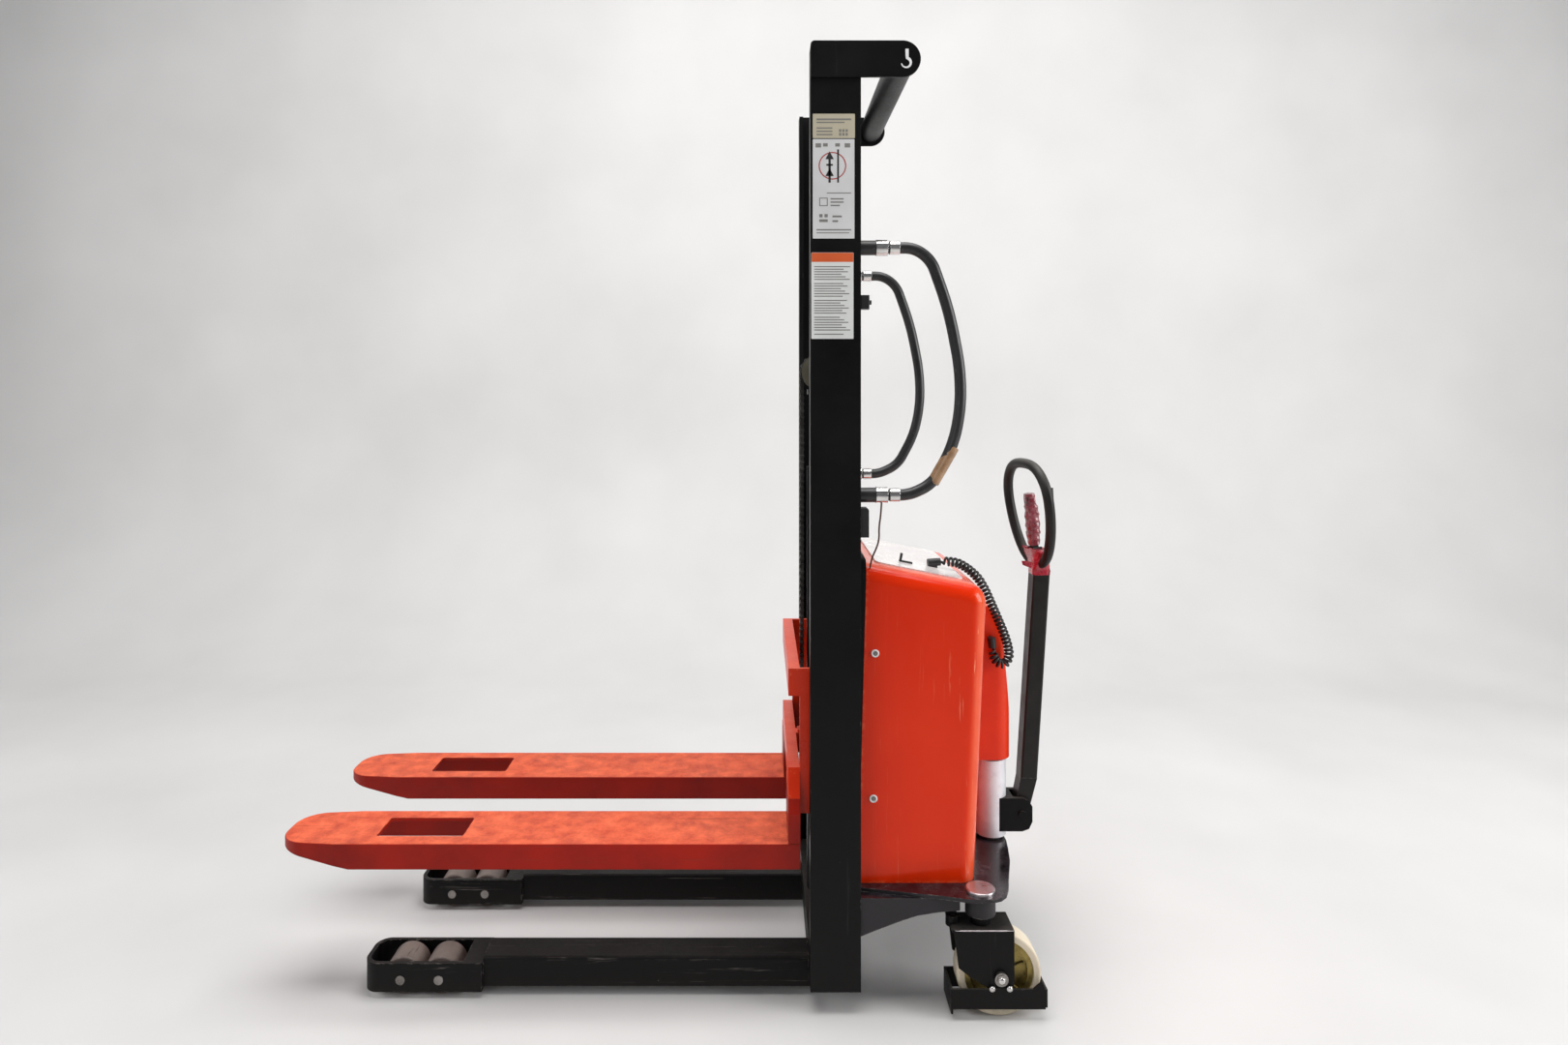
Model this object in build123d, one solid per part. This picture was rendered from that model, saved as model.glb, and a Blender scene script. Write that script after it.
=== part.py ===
from build123d import *
import os
from math import sin, cos, tan, radians, degrees, pi, sqrt, atan2

# Walkie stacker (powered pallet handler): single mast, straddle-free legs under
# two box forks, steered rear wheels, tiller with a loop handle.
# Row frame: +X to the operator's side (tiller), forks point to -X, +Z up,
# floor at Z = 0, Y = 0 on the symmetry plane. "left" is the operator's left (-Y).
# Every shape is drawn with X measured from the mast datum and is shifted by
# SHIFT_X at export, so that the whole machine is centred on the row origin.

# ---------------------------------------------------------------- dimensions
SHIFT_X = 170.555

# mast
MAST_HALF = 297.0        # outer face of the channel webs
MAST_X0, MAST_X1 = 113.0, 221.0
MAST_Z0, MAST_Z1 = 51.0, 2070.0
WEB_T, FLANGE_T, FLANGE_W = 8.0, 10.0, 45.0
BRACKET_T = 5.0
TOP_TUBE_X, TOP_TUBE_Z, TOP_TUBE_R = 309.0, 2041.0, 30.0

# lift
SHEAVE_X, SHEAVE_Z, SHEAVE_PITCH_R = 148.0, 1379.0, 40.0
CHAIN_T, CHAIN_W = 11.0, 22.0
BARREL_R, BARREL_BORE, ROD_R = 28.0, 22.0, 15.0
BARREL_Z0, BARREL_Z1 = 130.0, 1150.0
LIFT_DOWN, LIFT_UP = 0.127, 0.620      # piston travel each way (carriage moves twice this)

# carriage and forks
FORK_TIP, FORK_HEEL0, FORK_HEEL1 = -1047.0, 67.0, 93.0
FORK_TOP, FORK_BOT = 355.0, 300.0
FORK_Y0, FORK_Y1 = 100.0, 270.0        # inner and outer edge of each fork
FORK_PLATE = 8.0
GUIDE_X, GUIDE_R, GUIDE_W = 167.0, 43.0, 30.0
GUIDE_Z = (462.0, 672.0)

# legs
LEG_Y, LEG_W = 185.0, 83.0
LEG_Z0, LEG_Z1 = 19.0, 86.0
BOX_X0, BOX_X1 = -867.0, -605.0
BOX_W = 104.0
BOX_Z0, BOX_Z1 = 15.0, 78.0
LOAD_R, LOAD_W = 41.0, 68.0
LOAD_X = (-784.0, -700.0)

# chassis
BASE_Z0, BASE_Z1 = 248.0, 256.0
PIVOT_X, PIVOT_Y = 481.0, 272.0
COL_X, COL_R = 567.0, 36.5
STEER_ARM = 60.0
COVER_HALF = 240.0

# casters
WHEEL_R, WHEEL_W, TRAIL = 90.0, 50.0, 35.0
WHEEL_X = PIVOT_X + TRAIL

# tiller
FOLD_X, FOLD_Z = 635.0, 318.0
TILLER_LEAN = 3.6
LOOP_YAW = 13.0

PARTS = {}


# ---------------------------------------------------------------- helpers
def box(x0, x1, y0, y1, z0, z1):
    return Pos((x0 + x1) / 2, (y0 + y1) / 2, (z0 + z1) / 2) * Box(abs(x1 - x0), abs(y1 - y0), abs(z1 - z0))


def cz(x, y, z0, z1, r):
    return Pos(x, y, (z0 + z1) / 2) * Cylinder(r, abs(z1 - z0))


def cy(x, z, y0, y1, r):
    return Pos(x, (y0 + y1) / 2, z) * Rot(90, 0, 0) * Cylinder(r, abs(y1 - y0))


def cx(y, z, x0, x1, r):
    return Pos((x0 + x1) / 2, y, z) * Rot(0, 90, 0) * Cylinder(r, abs(x1 - x0))


def prism_xz(points, y0, y1):
    f = Face(Wire.make_polygon([Vector(x, y0, z) for x, z in points], close=True))
    return Solid.extrude(f, Vector(0, y1 - y0, 0))


def prism_xy(points, z0, z1):
    f = Face(Wire.make_polygon([Vector(x, y, z0) for x, y in points], close=True))
    return Solid.extrude(f, Vector(0, 0, z1 - z0))


def prism_yz(points, x0, x1):
    f = Face(Wire.make_polygon([Vector(x0, y, z) for y, z in points], close=True))
    return Solid.extrude(f, Vector(x1 - x0, 0, 0))


def flip(s):
    return s.mirror(Plane.XZ)


def put(name, *shapes):
    solids = []
    for s in shapes:
        solids += list(s.solids())
    PARTS[name] = solids


def pair(name, s):
    put(name + "_left", s)
    put(name + "_right", flip(s))


def group(name, *shapes):
    put(name, *shapes)


def edges_along(s, axis, pick):
    return [e for e in s.edges().filter_by(axis) if pick(e.center())]


def tube_along(points, radii, r):
    line = FilletPolyline(*points, radius=radii, close=False) if len(points) > 2 else Line(*points)
    start = line @ 0
    sec = Plane(origin=start, z_dir=line % 0) * Circle(r)
    return sweep(sec, path=line)


def corner_radii(points, share=0.45):
    vs = [Vector(*p) for p in points]
    out = []
    for i in range(1, len(vs) - 1):
        a, b = vs[i] - vs[i - 1], vs[i + 1] - vs[i]
        turn = a.get_angle(b)
        out.append(share * min(a.length, b.length) / tan(radians(turn / 2)))
    return out


# ---------------------------------------------------------------- mast
yw = -MAST_HALF
channel = box(MAST_X0, MAST_X1, yw, yw + WEB_T, MAST_Z0, MAST_Z1)
channel += box(MAST_X0, MAST_X0 + FLANGE_T, yw, yw + FLANGE_W, MAST_Z0, MAST_Z1)
channel += box(MAST_X1 - FLANGE_T, MAST_X1, yw, yw + FLANGE_W, MAST_Z0, MAST_Z1)
pair("mast_channel", channel)

outline = box(MAST_X0, TOP_TUBE_X, -302, -297, 2002, 2080) + cy(TOP_TUBE_X, TOP_TUBE_Z, -302, -297, 39)
outline = fillet(edges_along(outline, Axis.Y, lambda c: c.X < 120 and c.Z > 2050), 9)
top_tube = cy(TOP_TUBE_X, TOP_TUBE_Z, -297, 297, TOP_TUBE_R) - cy(TOP_TUBE_X, TOP_TUBE_Z, -297, 297, TOP_TUBE_R - 4)
put("mast_head_frame", outline + top_tube + flip(outline))

mid = box(196, MAST_X1, -252, 252, 1010, 1090)
mid += box(178, 196, -16, 16, 1040, 1090) + box(178, 196, -14, 14, 1090, 1096)
group("mast_crossmembers", box(MAST_X0, MAST_X1, -252, 252, 60, BARREL_Z0), mid)

# ---------------------------------------------------------------- lift cylinder and piston
barrel = cz(SHEAVE_X, 0, BARREL_Z0, BARREL_Z1, BARREL_R) - cz(SHEAVE_X, 0, BARREL_Z0 + 14, BARREL_Z1 - 30, BARREL_BORE)
barrel -= cz(SHEAVE_X, 0, BARREL_Z1 - 30, BARREL_Z1, ROD_R + 0.1)
put("lift_cylinder_barrel", barrel)

CROSS_Z = SHEAVE_Z - 54
rod = cz(SHEAVE_X, 0, BARREL_Z0 + 154, CROSS_Z, ROD_R) + cz(SHEAVE_X, 0, BARREL_Z0 + 154, BARREL_Z0 + 194, BARREL_BORE - 0.1)
put("piston_rod", rod)

# crosshead: saddle on the rod with two cheeks that carry the sheave axle
head = box(SHEAVE_X - 26, SHEAVE_X + 26, -34, 34, CROSS_Z, CROSS_Z + 12)
for s in (-1, 1):
    y0, y1 = sorted((s * 26, s * 34))
    head += box(SHEAVE_X - 18, SHEAVE_X + 18, y0, y1, CROSS_Z + 12, SHEAVE_Z) + cy(SHEAVE_X, SHEAVE_Z, y0, y1, 18)
head += cy(SHEAVE_X, SHEAVE_Z, -40, 40, 10)
put("piston_crosshead", head)

rim = SHEAVE_PITCH_R - CHAIN_T / 2 - 0.4
sheave = cy(SHEAVE_X, SHEAVE_Z, -CHAIN_W / 2 - 0.6, CHAIN_W / 2 + 0.6, rim)
for s in (-1, 1):
    y0, y1 = sorted((s * (CHAIN_W / 2 + 0.6), s * (CHAIN_W / 2 + 5)))
    sheave += cy(SHEAVE_X, SHEAVE_Z, y0, y1, SHEAVE_PITCH_R + 1)
    y0, y1 = sorted((s * (CHAIN_W / 2 + 5), s * 25.5))
    sheave += cy(SHEAVE_X, SHEAVE_Z, y0, y1, 17)
sheave -= cy(SHEAVE_X, SHEAVE_Z, -26, 26, 10.08)
put("chain_sheave", sheave)

# chain: wrap over the sheave, front run to the carriage, rear run to the mast anchor
ro, ri = SHEAVE_PITCH_R + CHAIN_T / 2, SHEAVE_PITCH_R - CHAIN_T / 2
wrap = cy(SHEAVE_X, SHEAVE_Z, -CHAIN_W / 2, CHAIN_W / 2, ro) - cy(SHEAVE_X, SHEAVE_Z, -CHAIN_W / 2, CHAIN_W / 2, ri)
wrap = wrap & box(SHEAVE_X - 60, SHEAVE_X + 60, -30, 30, SHEAVE_Z, SHEAVE_Z + 60)
put("chain_over_sheave", wrap)
put("chain_front_run", box(SHEAVE_X - ro, SHEAVE_X - ri, -CHAIN_W / 2, CHAIN_W / 2, 514, SHEAVE_Z))
put("chain_rear_run", box(SHEAVE_X + ri, SHEAVE_X + ro, -CHAIN_W / 2, CHAIN_W / 2, 1096, SHEAVE_Z))

# ---------------------------------------------------------------- carriage
upper_bar = box(68, 93, -238, 238, 665, 725)
bar = prism_yz([(-258.7, 448), (258.7, 448), (236, 508), (-236, 508)], 68, 93)
bar += box(93, 117, -16, 16, 460, 508) + box(97, 119, -14, 14, 508, 514)

plate = box(93, 190, -238, -228, 408, 725)
plate = fillet(edges_along(plate, Axis.Y, lambda c: c.X > 180), 16)
stubs = None
for z in GUIDE_Z:
    s = cy(GUIDE_X, z, -284, -238, 14) + cy(GUIDE_X, z, -251, -238, 22)
    stubs = s if stubs is None else stubs + s
side = plate + stubs
put("carriage_frame", upper_bar + bar + side + flip(side))


def guide_roller(z):
    r = cy(GUIDE_X, z, -283, -283 + GUIDE_W, GUIDE_R) - cy(GUIDE_X, z, -283, -283 + GUIDE_W, 14.1)
    return chamfer(edges_along(r, Axis.Y, lambda c: False) or r.edges().filter_by(GeomType.CIRCLE).filter_by(lambda e: e.radius > 40), 1.5)


lower = guide_roller(GUIDE_Z[0])
upper = guide_roller(GUIDE_Z[1])
put("guide_roller_lower_left", lower)
put("guide_roller_lower_right", flip(lower))
put("guide_roller_upper_left", upper)
put("guide_roller_upper_right", flip(upper))


def fork():
    ym = (FORK_Y0 + FORK_Y1) / 2
    # plan outline with a slightly tapered, blunt rounded nose
    outer = [(FORK_HEEL1, -FORK_Y1), (FORK_HEEL1, -FORK_Y0), (FORK_TIP + 130, -FORK_Y0),
             (FORK_TIP, -ym + 72), (FORK_TIP, -ym - 72), (FORK_TIP + 130, -FORK_Y1)]
    body = prism_xy(outer, FORK_BOT, FORK_TOP)
    body = fillet(edges_along(body, Axis.Z, lambda c: c.X < FORK_TIP + 5), 62)
    # raked underside of the tip
    body -= prism_xz([(FORK_TIP - 5, FORK_BOT - 5), (-885, FORK_BOT - 5), (-885, FORK_BOT), (FORK_TIP - 5, FORK_TOP - 17)], -FORK_Y1 - 5, -FORK_Y0 + 5)
    inner = box(-905, FORK_HEEL1 + 1, -FORK_Y1 + FORK_PLATE, -FORK_Y0 - FORK_PLATE, FORK_BOT - 1, FORK_TOP - FORK_PLATE)
    body -= inner
    # tip is open underneath up to its rake
    tip_hollow = prism_xy([(-904, -FORK_Y0 - 12), (-904, -FORK_Y1 + 12), (FORK_TIP + 60, -ym - 34), (FORK_TIP + 60, -ym + 34)], FORK_BOT - 1, FORK_TOP - 12)
    body -= tip_hollow
    window = box(-838, -648, -LEG_Y - 46, -LEG_Y + 46, FORK_TOP - 20, FORK_TOP + 5)
    window = fillet(edges_along(window, Axis.Z, lambda c: True), 6)
    body -= window
    body = fillet(edges_along(body, Axis.X, lambda c: c.Z > FORK_TOP - 1 and (c.Y < -FORK_Y1 + 1 or c.Y > -FORK_Y0 - 1)), 3)
    heel = prism_yz([(-FORK_Y1, FORK_TOP), (-FORK_Y0, FORK_TOP), (-FORK_Y0, 448), (-258.7, 448), (-FORK_Y1, 418)], FORK_HEEL0, FORK_HEEL1)
    return body, heel


f_body, f_heel = fork()
pair("fork", f_body + f_heel)

# ---------------------------------------------------------------- legs and load rollers
leg = box(BOX_X1, MAST_X0, -LEG_Y - LEG_W / 2, -LEG_Y + LEG_W / 2, LEG_Z0, LEG_Z1)
leg = fillet(leg.edges().filter_by(Axis.X), 7)
leg -= box(BOX_X1, MAST_X0 - 12, -LEG_Y - LEG_W / 2 + 6, -LEG_Y + LEG_W / 2 - 6, LEG_Z0 + 6, LEG_Z1 - 6)
foot = box(MAST_X0, MAST_X1 - 10, -226.5, -143.5, 22, 60) + box(MAST_X0, MAST_X1 - 13, -252, -226.5, 51, 60)
foot += box(MAST_X0 - 12, MAST_X0, -226.5, -143.5, 26, 80)

by0, by1 = -LEG_Y - BOX_W / 2, -LEG_Y + BOX_W / 2
rbox = box(BOX_X0, BOX_X1, by0, by1, BOX_Z0, BOX_Z1)
rbox = fillet(edges_along(rbox, Axis.Z, lambda c: c.X < BOX_X0 + 5), 32)
rbox -= box(-830, BOX_X1 - 12, by0 + 10, by1 - 10, BOX_Z0 - 1, BOX_Z1 + 1)
nose = fillet(edges_along(box(BOX_X0 + 9, -800, by0 + 9, by1 - 9, BOX_Z0 - 1, BOX_Z1 + 1), Axis.Z, lambda c: c.X < BOX_X0 + 20), 25)
rbox -= nose
rbox += box(-648, BOX_X1 - 12, by0 + 10, by1 - 10, BOX_Z1 - 8, BOX_Z1)
for lx in LOAD_X:
    rbox -= cy(lx, LOAD_R, by0 - 1, by1 + 1, 10)
pair("leg", leg + foot + rbox)

axles = []
rollers = []
for s in (-1, 1):
    for lx in LOAD_X:
        a, b = sorted((s * (LEG_Y - BOX_W / 2 - 1), s * (LEG_Y + BOX_W / 2 + 1)))
        axles.append(cy(lx, LOAD_R, a, b, 10))
group("load_roller_axles", *axles)
for nm, s in (("left", -1), ("right", 1)):
    for k, lx in (("front", LOAD_X[0]), ("rear", LOAD_X[1])):
        a, b = sorted((s * (LEG_Y - LOAD_W / 2), s * (LEG_Y + LOAD_W / 2)))
        w = cy(lx, LOAD_R, a, b, LOAD_R)
        w = fillet(w.edges().filter_by(GeomType.CIRCLE), 4)
        w -= cy(lx, LOAD_R, a, b, 10.1)
        put("load_roller_%s_%s" % (k, nm), w)

# ---------------------------------------------------------------- chassis base plate
half = [(MAST_X0 + 108, -259), (300, -276), (400, -297), (444, -309), (470, -312), (500, -311), (520, -303),
        (534, -288), (546, -258), (558, -212), (572, -163), (580, -135), (590, -80), (597, -33)]
outline = half + [(x, -y) for x, y in reversed(half)]
base = prism_xy(outline, BASE_Z0, BASE_Z1)
base += box(MAST_X1, 262, -252, 252, 224, BASE_Z0)          # front cross web under the plate
base -= cz(COL_X, 0, BASE_Z0 - 5, BASE_Z1 + 5, 22)
base += cz(COL_X, 0, BASE_Z0, BASE_Z1, 22) - cz(COL_X, 0, BASE_Z0 - 5, BASE_Z1 + 5, 15.1)
for s in (-1, 1):
    base -= cz(PIVOT_X, s * PIVOT_Y, BASE_Z0 - 5, BASE_Z1 + 5, 20)

gus = prism_xz([(MAST_X1, BASE_Z0), (MAST_X1, 166), (250, 178), (282, 190), (312, 201), (343, 211), (388, 218), (434, 222),
                (434, BASE_Z0)], -290, -280)
gus += box(MAST_X1, 434, -290, -255, 240, BASE_Z0)           # turned-in top flange of the gusset
base += gus + flip(gus)
base += cz(COL_X, 0, BASE_Z0 - 14, BASE_Z1 + 5, 30) - cz(COL_X, 0, BASE_Z0 - 20, BASE_Z1 + 10, 15.1)

housing = cz(PIVOT_X, -PIVOT_Y, 210, BASE_Z0, 32.5) + cz(PIVOT_X, -PIVOT_Y, BASE_Z0, BASE_Z1, 20)
housing -= cz(PIVOT_X, -PIVOT_Y, 210, BASE_Z1, 15.1)
base += housing + flip(housing)
put("base_plate", base)
cap = cz(PIVOT_X, -PIVOT_Y, BASE_Z1, BASE_Z1 + 7, 32)
cap = fillet(cap.edges().filter_by(GeomType.CIRCLE).sort_by(Axis.Z)[-1:], 3)
cap -= cz(PIVOT_X, -PIVOT_Y, BASE_Z1, BASE_Z1 + 2, 17)
group("caster_pivot_caps", cap, flip(cap))

# ---------------------------------------------------------------- casters (steered yokes)
def yoke():
    y = -PIVOT_Y
    y0, y1 = y - 38, y + 38
    s = box(414, 545, y0, y1, 184, 190)
    for a, b in ((y0, y0 + 5), (y1 - 5, y1)):
        s += prism_xz([(418, 184), (545, 184), (545, 74), (528, 62), (500, 62), (450, 92), (427, 110)], a, b)
    # toe guard: low frame round the wheel
    s += box(414, 610, y0 - 5, y0, 26, 68) + box(414, 610, y1, y1 + 5, 26, 68)
    s += box(410, 414, y0 - 5, y1 + 5, 16, 68) + box(610, 614, y0 - 5, y1 + 5, 30, 68)
    s += prism_xz([(584, 68), (602, 84), (610, 68)], y0 - 5, y0) + prism_xz([(584, 68), (602, 84), (610, 68)], y1, y1 + 5)
    # stem, forward steering arm and its pin
    s += cz(PIVOT_X, y, 190, 257.5, 15) + cz(PIVOT_X, y, 190, 209.7, 22)
    s += box(PIVOT_X - STEER_ARM, 414, y - 15, y + 15, 184, 190) + cz(PIVOT_X - STEER_ARM, y, 184, 190, 15)
    s += cz(PIVOT_X - STEER_ARM, y, 190, 208, 8)
    # wheel bolt with its heads
    s += cy(WHEEL_X, WHEEL_R, y0 - 5, y1 + 5, 8) + cy(WHEEL_X, WHEEL_R, y0 - 8, y0, 13.5) + cy(WHEEL_X, WHEEL_R, y1, y1 + 8, 13.5)
    return s


pair("caster_yoke", yoke())
y0, y1 = -PIVOT_Y - WHEEL_W / 2, -PIVOT_Y + WHEEL_W / 2
hub = cy(WHEEL_X, WHEEL_R, y0 + 6, y1 - 6, 74) - cy(WHEEL_X, WHEEL_R, y0 + 6, y0 + 16, 62) - cy(WHEEL_X, WHEEL_R, y1 - 16, y1 - 6, 62)
hub += cy(WHEEL_X, WHEEL_R, y0 - 4, y1 + 4, 22)
hub -= cy(WHEEL_X, WHEEL_R, y0 - 10, y1 + 10, 8.1)
pair("caster_hub", hub)
tread = cy(WHEEL_X, WHEEL_R, y0, y1, WHEEL_R)
tread = fillet(tread.edges().filter_by(GeomType.CIRCLE), 6)
tread -= cy(WHEEL_X, WHEEL_R, y0, y1, 74)
pair("caster_tread", tread)

# steering link: tee-shaped plate that carries the column's motion to both yokes
lx = PIVOT_X - STEER_ARM
link = box(lx - 11, lx + 11, -PIVOT_Y, PIVOT_Y, 193, 205)
for s in (-1, 1):
    link += cz(lx, s * PIVOT_Y, 193, 205, 15)
link += box(lx + 11, COL_X - STEER_ARM, -14, 14, 193, 205) + cz(COL_X - STEER_ARM, 0, 193, 205, 16)
for s in (-1, 1):
    link -= cz(lx, s * PIVOT_Y, 190, 208, 9)
link -= cz(COL_X - STEER_ARM, 0, 190, 208, 8.1)
put("steering_link", link)

# ---------------------------------------------------------------- steering column
col = cz(COL_X, 0, 262, 446, COL_R)
col -= cz(COL_X, 0, 300, 400, COL_R - 6)
col += cz(COL_X, 0, 208, 262, 15) + cz(COL_X, 0, 446, 480, 15)
arm = cz(COL_X, 0, 208, 216, 24) + box(COL_X - STEER_ARM, COL_X, -13, 13, 208, 216) + cz(COL_X - STEER_ARM, 0, 208, 216, 15)
arm += cz(COL_X - STEER_ARM, 0, 190, 208, 8)
put("steering_column", col + arm)

clevis = box(577, 616, -34, 34, 277, 356)
for s in (-1, 1):
    a, b = sorted((s * 22, s * 34))
    clevis += box(616, 636, a, b, 277, 356) + prism_xz([(636, 277), (652, 283), (660, 300), (660, 336), (652, 350), (636, 356)], a, b)
clevis -= cz(COL_X, 0, 270, 360, COL_R)
clevis += cy(FOLD_X, FOLD_Z, -38, 38, 9)
put("tiller_clevis", clevis)

# ---------------------------------------------------------------- tiller
elbow = cy(FOLD_X, FOLD_Z, -21, 21, 17)
elbow += prism_xz([(620, 322), (628, 302), (652, 312), (674.5, 398), (674.5, 401), (634.5, 401), (634.5, 396)], -21, 21)
elbow -= cy(FOLD_X, FOLD_Z, -25, 25, 9.1)

lean = tan(radians(TILLER_LEAN))


def tiller_x(z):
    return 654.5 + (z - 401) * lean


t0, t1 = 401.0, 900.0
tube = prism_xz([(tiller_x(t0) - 20, t0), (tiller_x(t0) + 20, t0), (tiller_x(t1) + 20, t1), (tiller_x(t1) - 20, t1)], -25, 25)
tube = fillet(tube.edges().filter_by(lambda e: e.length > 400), 5)
core = prism_xz([(tiller_x(t0) - 17, t0), (tiller_x(t0) + 17, t0), (tiller_x(t1) + 17, t1), (tiller_x(t1) - 17, t1)], -22, 22)
put("tiller_bar", elbow + (tube - core))

# loop handle: closed egg-shaped ring of round tube, leaning forward, slightly yawed
NECK_X, NECK_Z = 681.0, 900.0
LOOP_LEAN = degrees(atan2(0.1425, 1.0))
loop_frame = Pos(NECK_X, 0, NECK_Z) * Rot(0, 0, LOOP_YAW) * Rot(0, -LOOP_LEAN, 0)
RING = [(0, 14), (-46, 30), (-84, 88), (-98, 150), (-92, 210), (-58, 250), (0, 261), (58, 250), (92, 210), (98, 150), (84, 88), (46, 30)]


def loop_point(x, y, z):
    p = (loop_frame * Pos(x, y, z)).position
    return (p.X, p.Y, p.Z)


spl = Spline(*[loop_point(0, y, z) for y, z in RING], periodic=True)
ring = sweep(Plane(origin=spl @ 0, z_dir=spl % 0) * Circle(12), path=spl)
saddle = prism_xz([(tiller_x(t1) - 20, t1), (tiller_x(t1) + 20, t1), (tiller_x(t1) + 10, t1 + 26), (tiller_x(t1) - 18, t1 + 26)], -24, 24)
loop = ring + saddle
# cheeks and pin for the hand lever, and the rear thumb rest
for s in (-1, 1):
    a, b = sorted((s * 12, s * 17))
    loop += loop_frame * prism_xz([(-11, 12), (11, 12), (11, 56), (-11, 56)], a, b)
loop += loop_frame * (Pos(0, 0, 46) * Rot(90, 0, 0) * Cylinder(4, 34))
rest_line = Line(loop_point(6, -88, 104), loop_point(22, -74, 204))
loop += sweep(Plane(origin=rest_line @ 0, z_dir=rest_line % 0) * Circle(6.5), path=rest_line)
loop_solids = sorted(loop.solids(), key=lambda q: q.volume)
print("loop solids", [round(q.volume) for q in loop_solids])
put("loop_handle", loop_solids[-1])

# hand lever inside the loop, pivoted on the cheeks
lever = loop_frame * (Pos(0, 0, 46) * Rot(90, 0, 0) * Cylinder(8, 23))
lever += loop_frame * prism_xz([(-7, 46), (7, 46), (8, 110), (6, 176), (0, 186), (-7, 178), (-8, 110)], -9, 9)
lever -= loop_frame * (Pos(0, 0, 46) * Rot(90, 0, 0) * Cylinder(4.1, 40))
put("hand_lever", lever)

# ---------------------------------------------------------------- covers
def cover_body(inset):
    """Outer form of the cover, or its inner form when inset is the wall thickness."""
    i = inset
    rx = lambda z: 481 + 27 * (z - BASE_Z1) / 614 - i
    tz = lambda x: 954 - 47 * (x - 239) / 237 - i
    cxr, czr = 509.4 - i, 900.4 - i * 1.2
    prof = [(220 + 19 * (BASE_Z1 - 256) / 698, BASE_Z1), (rx(BASE_Z1), BASE_Z1), (cxr, tz(cxr)), (239, tz(239))]
    s = prism_xz(prof, -COVER_HALF + i, COVER_HALF - i)
    s = fillet([e for e in s.edges().filter_by(Axis.Y) if e.center().X > 490 and e.center().Z > 800], 46 - i)
    chain = [e for e in s.edges() if abs(abs(e.center().Y) - (COVER_HALF - i)) < 0.6
             and not (e.center().X < 260 and 300 < e.center().Z < 900) and e.center().Z > BASE_Z1 + 1]
    return fillet(chain, 36 - i)


shell = cover_body(0)
inner = cover_body(3.5)
cover = shell - inner - box(222, 443, -COVER_HALF + 3.5, COVER_HALF - 3.5, BASE_Z1 - 1, BASE_Z1 + 30)
cover -= box(222, 477.4, -COVER_HALF + 39, COVER_HALF - 39, BASE_Z1 - 1, BASE_Z1 + 30)
cover -= box(200, 226, -COVER_HALF + 3.5, COVER_HALF - 3.5, BASE_Z1 - 5, 700)
cover -= prism_xz([(200, 250), (220.2, 250), (239.2, 940), (239.2, 949), (200, 949)], -COVER_HALF + 3.5, COVER_HALF - 3.5)
cover -= box(470, 520, -32, 32, 453, 780)
print("cover solids", [round(q.volume) for q in cover.solids()])
put("main_cover", *sorted(cover.solids(), key=lambda q: q.volume)[-1:])

# rear hump over the steering column
hump_plan = box(470, COL_X + 4, -40, 40, 450, 830) + cz(COL_X + 4, 0, 450, 830, 40)
hump_side = prism_xz([(470, 450), (611, 450), (611, 540), (584, 778), (578, 796), (566, 810), (545, 820), (470, 826)], -50, 50)
hump_in = box(460, COL_X + 4, -36.5, 36.5, 440, 822) + cz(COL_X + 4, 0, 440, 822, 36.5)
hump_in_side = prism_xz([(460, 440), (607.5, 440), (607.5, 540), (580.5, 777), (575, 793), (564, 806), (544, 816), (460, 821)], -60, 60)
hump = (hump_plan & hump_side) - (hump_in & hump_in_side)
hump -= shell
hump_solids = sorted(hump.solids(), key=lambda s: s.volume)
column_cover = hump_solids[-1]
put("column_cover", column_cover)

# black closing plate between the mast and the open front of the cover
bp = prism_xz([(MAST_X1, 300), (221.05, 300), (238.4, 950), (238.4, 962), (234, 972), (226, 977), (MAST_X1, 978)], -COVER_HALF, COVER_HALF)
round_top = box(200, 260, -COVER_HALF, COVER_HALF, 250, 978)
bp = bp & fillet(edges_along(round_top, Axis.X, lambda c: c.Z > 900), 36)
put("cover_back_plate", bp)

screws = []
for s in (-1, 1):
    for sx, sz in ((258, 759), (254, 441)):
        a, b = sorted((s * COVER_HALF, s * (COVER_HALF + 2)))
        c, d = sorted((s * (COVER_HALF + 2), s * (COVER_HALF + 6)))
        screws.append(cy(sx, sz, a, b, 8.5) + cy(sx, sz, c, d, 5))
group("cover_screws", *screws)

# pale top panel with a small cord catch
slope_deg = degrees(atan2(954 - 907, 476 - 239))
panel_frame = Pos(357.5, 0, 930.5) * Rot(0, slope_deg, 0)
panel = panel_frame * Pos(6, 0, 1.5) * Box(200, 380, 3)
panel = fillet([e for e in panel.edges() if 2.5 < e.length < 3.5], 14)
panel += panel_frame * (Pos(-16, -120, 5) * Box(30, 7, 4) + Pos(-29, -120, 13) * Box(4, 7, 20))
put("control_panel", panel)


# operator controls on the rear face of the cover, towards the operator
REAR_SLOPE = 28.4 / (954 - 47 * (509.4 - 239) / 237 - BASE_Z1)


def rear_frame(y, z):
    return Pos(481 + REAR_SLOPE * (z - BASE_Z1), y, z) * Rot(0, 90 + degrees(atan2(REAR_SLOPE, 1)), 0)


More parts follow.
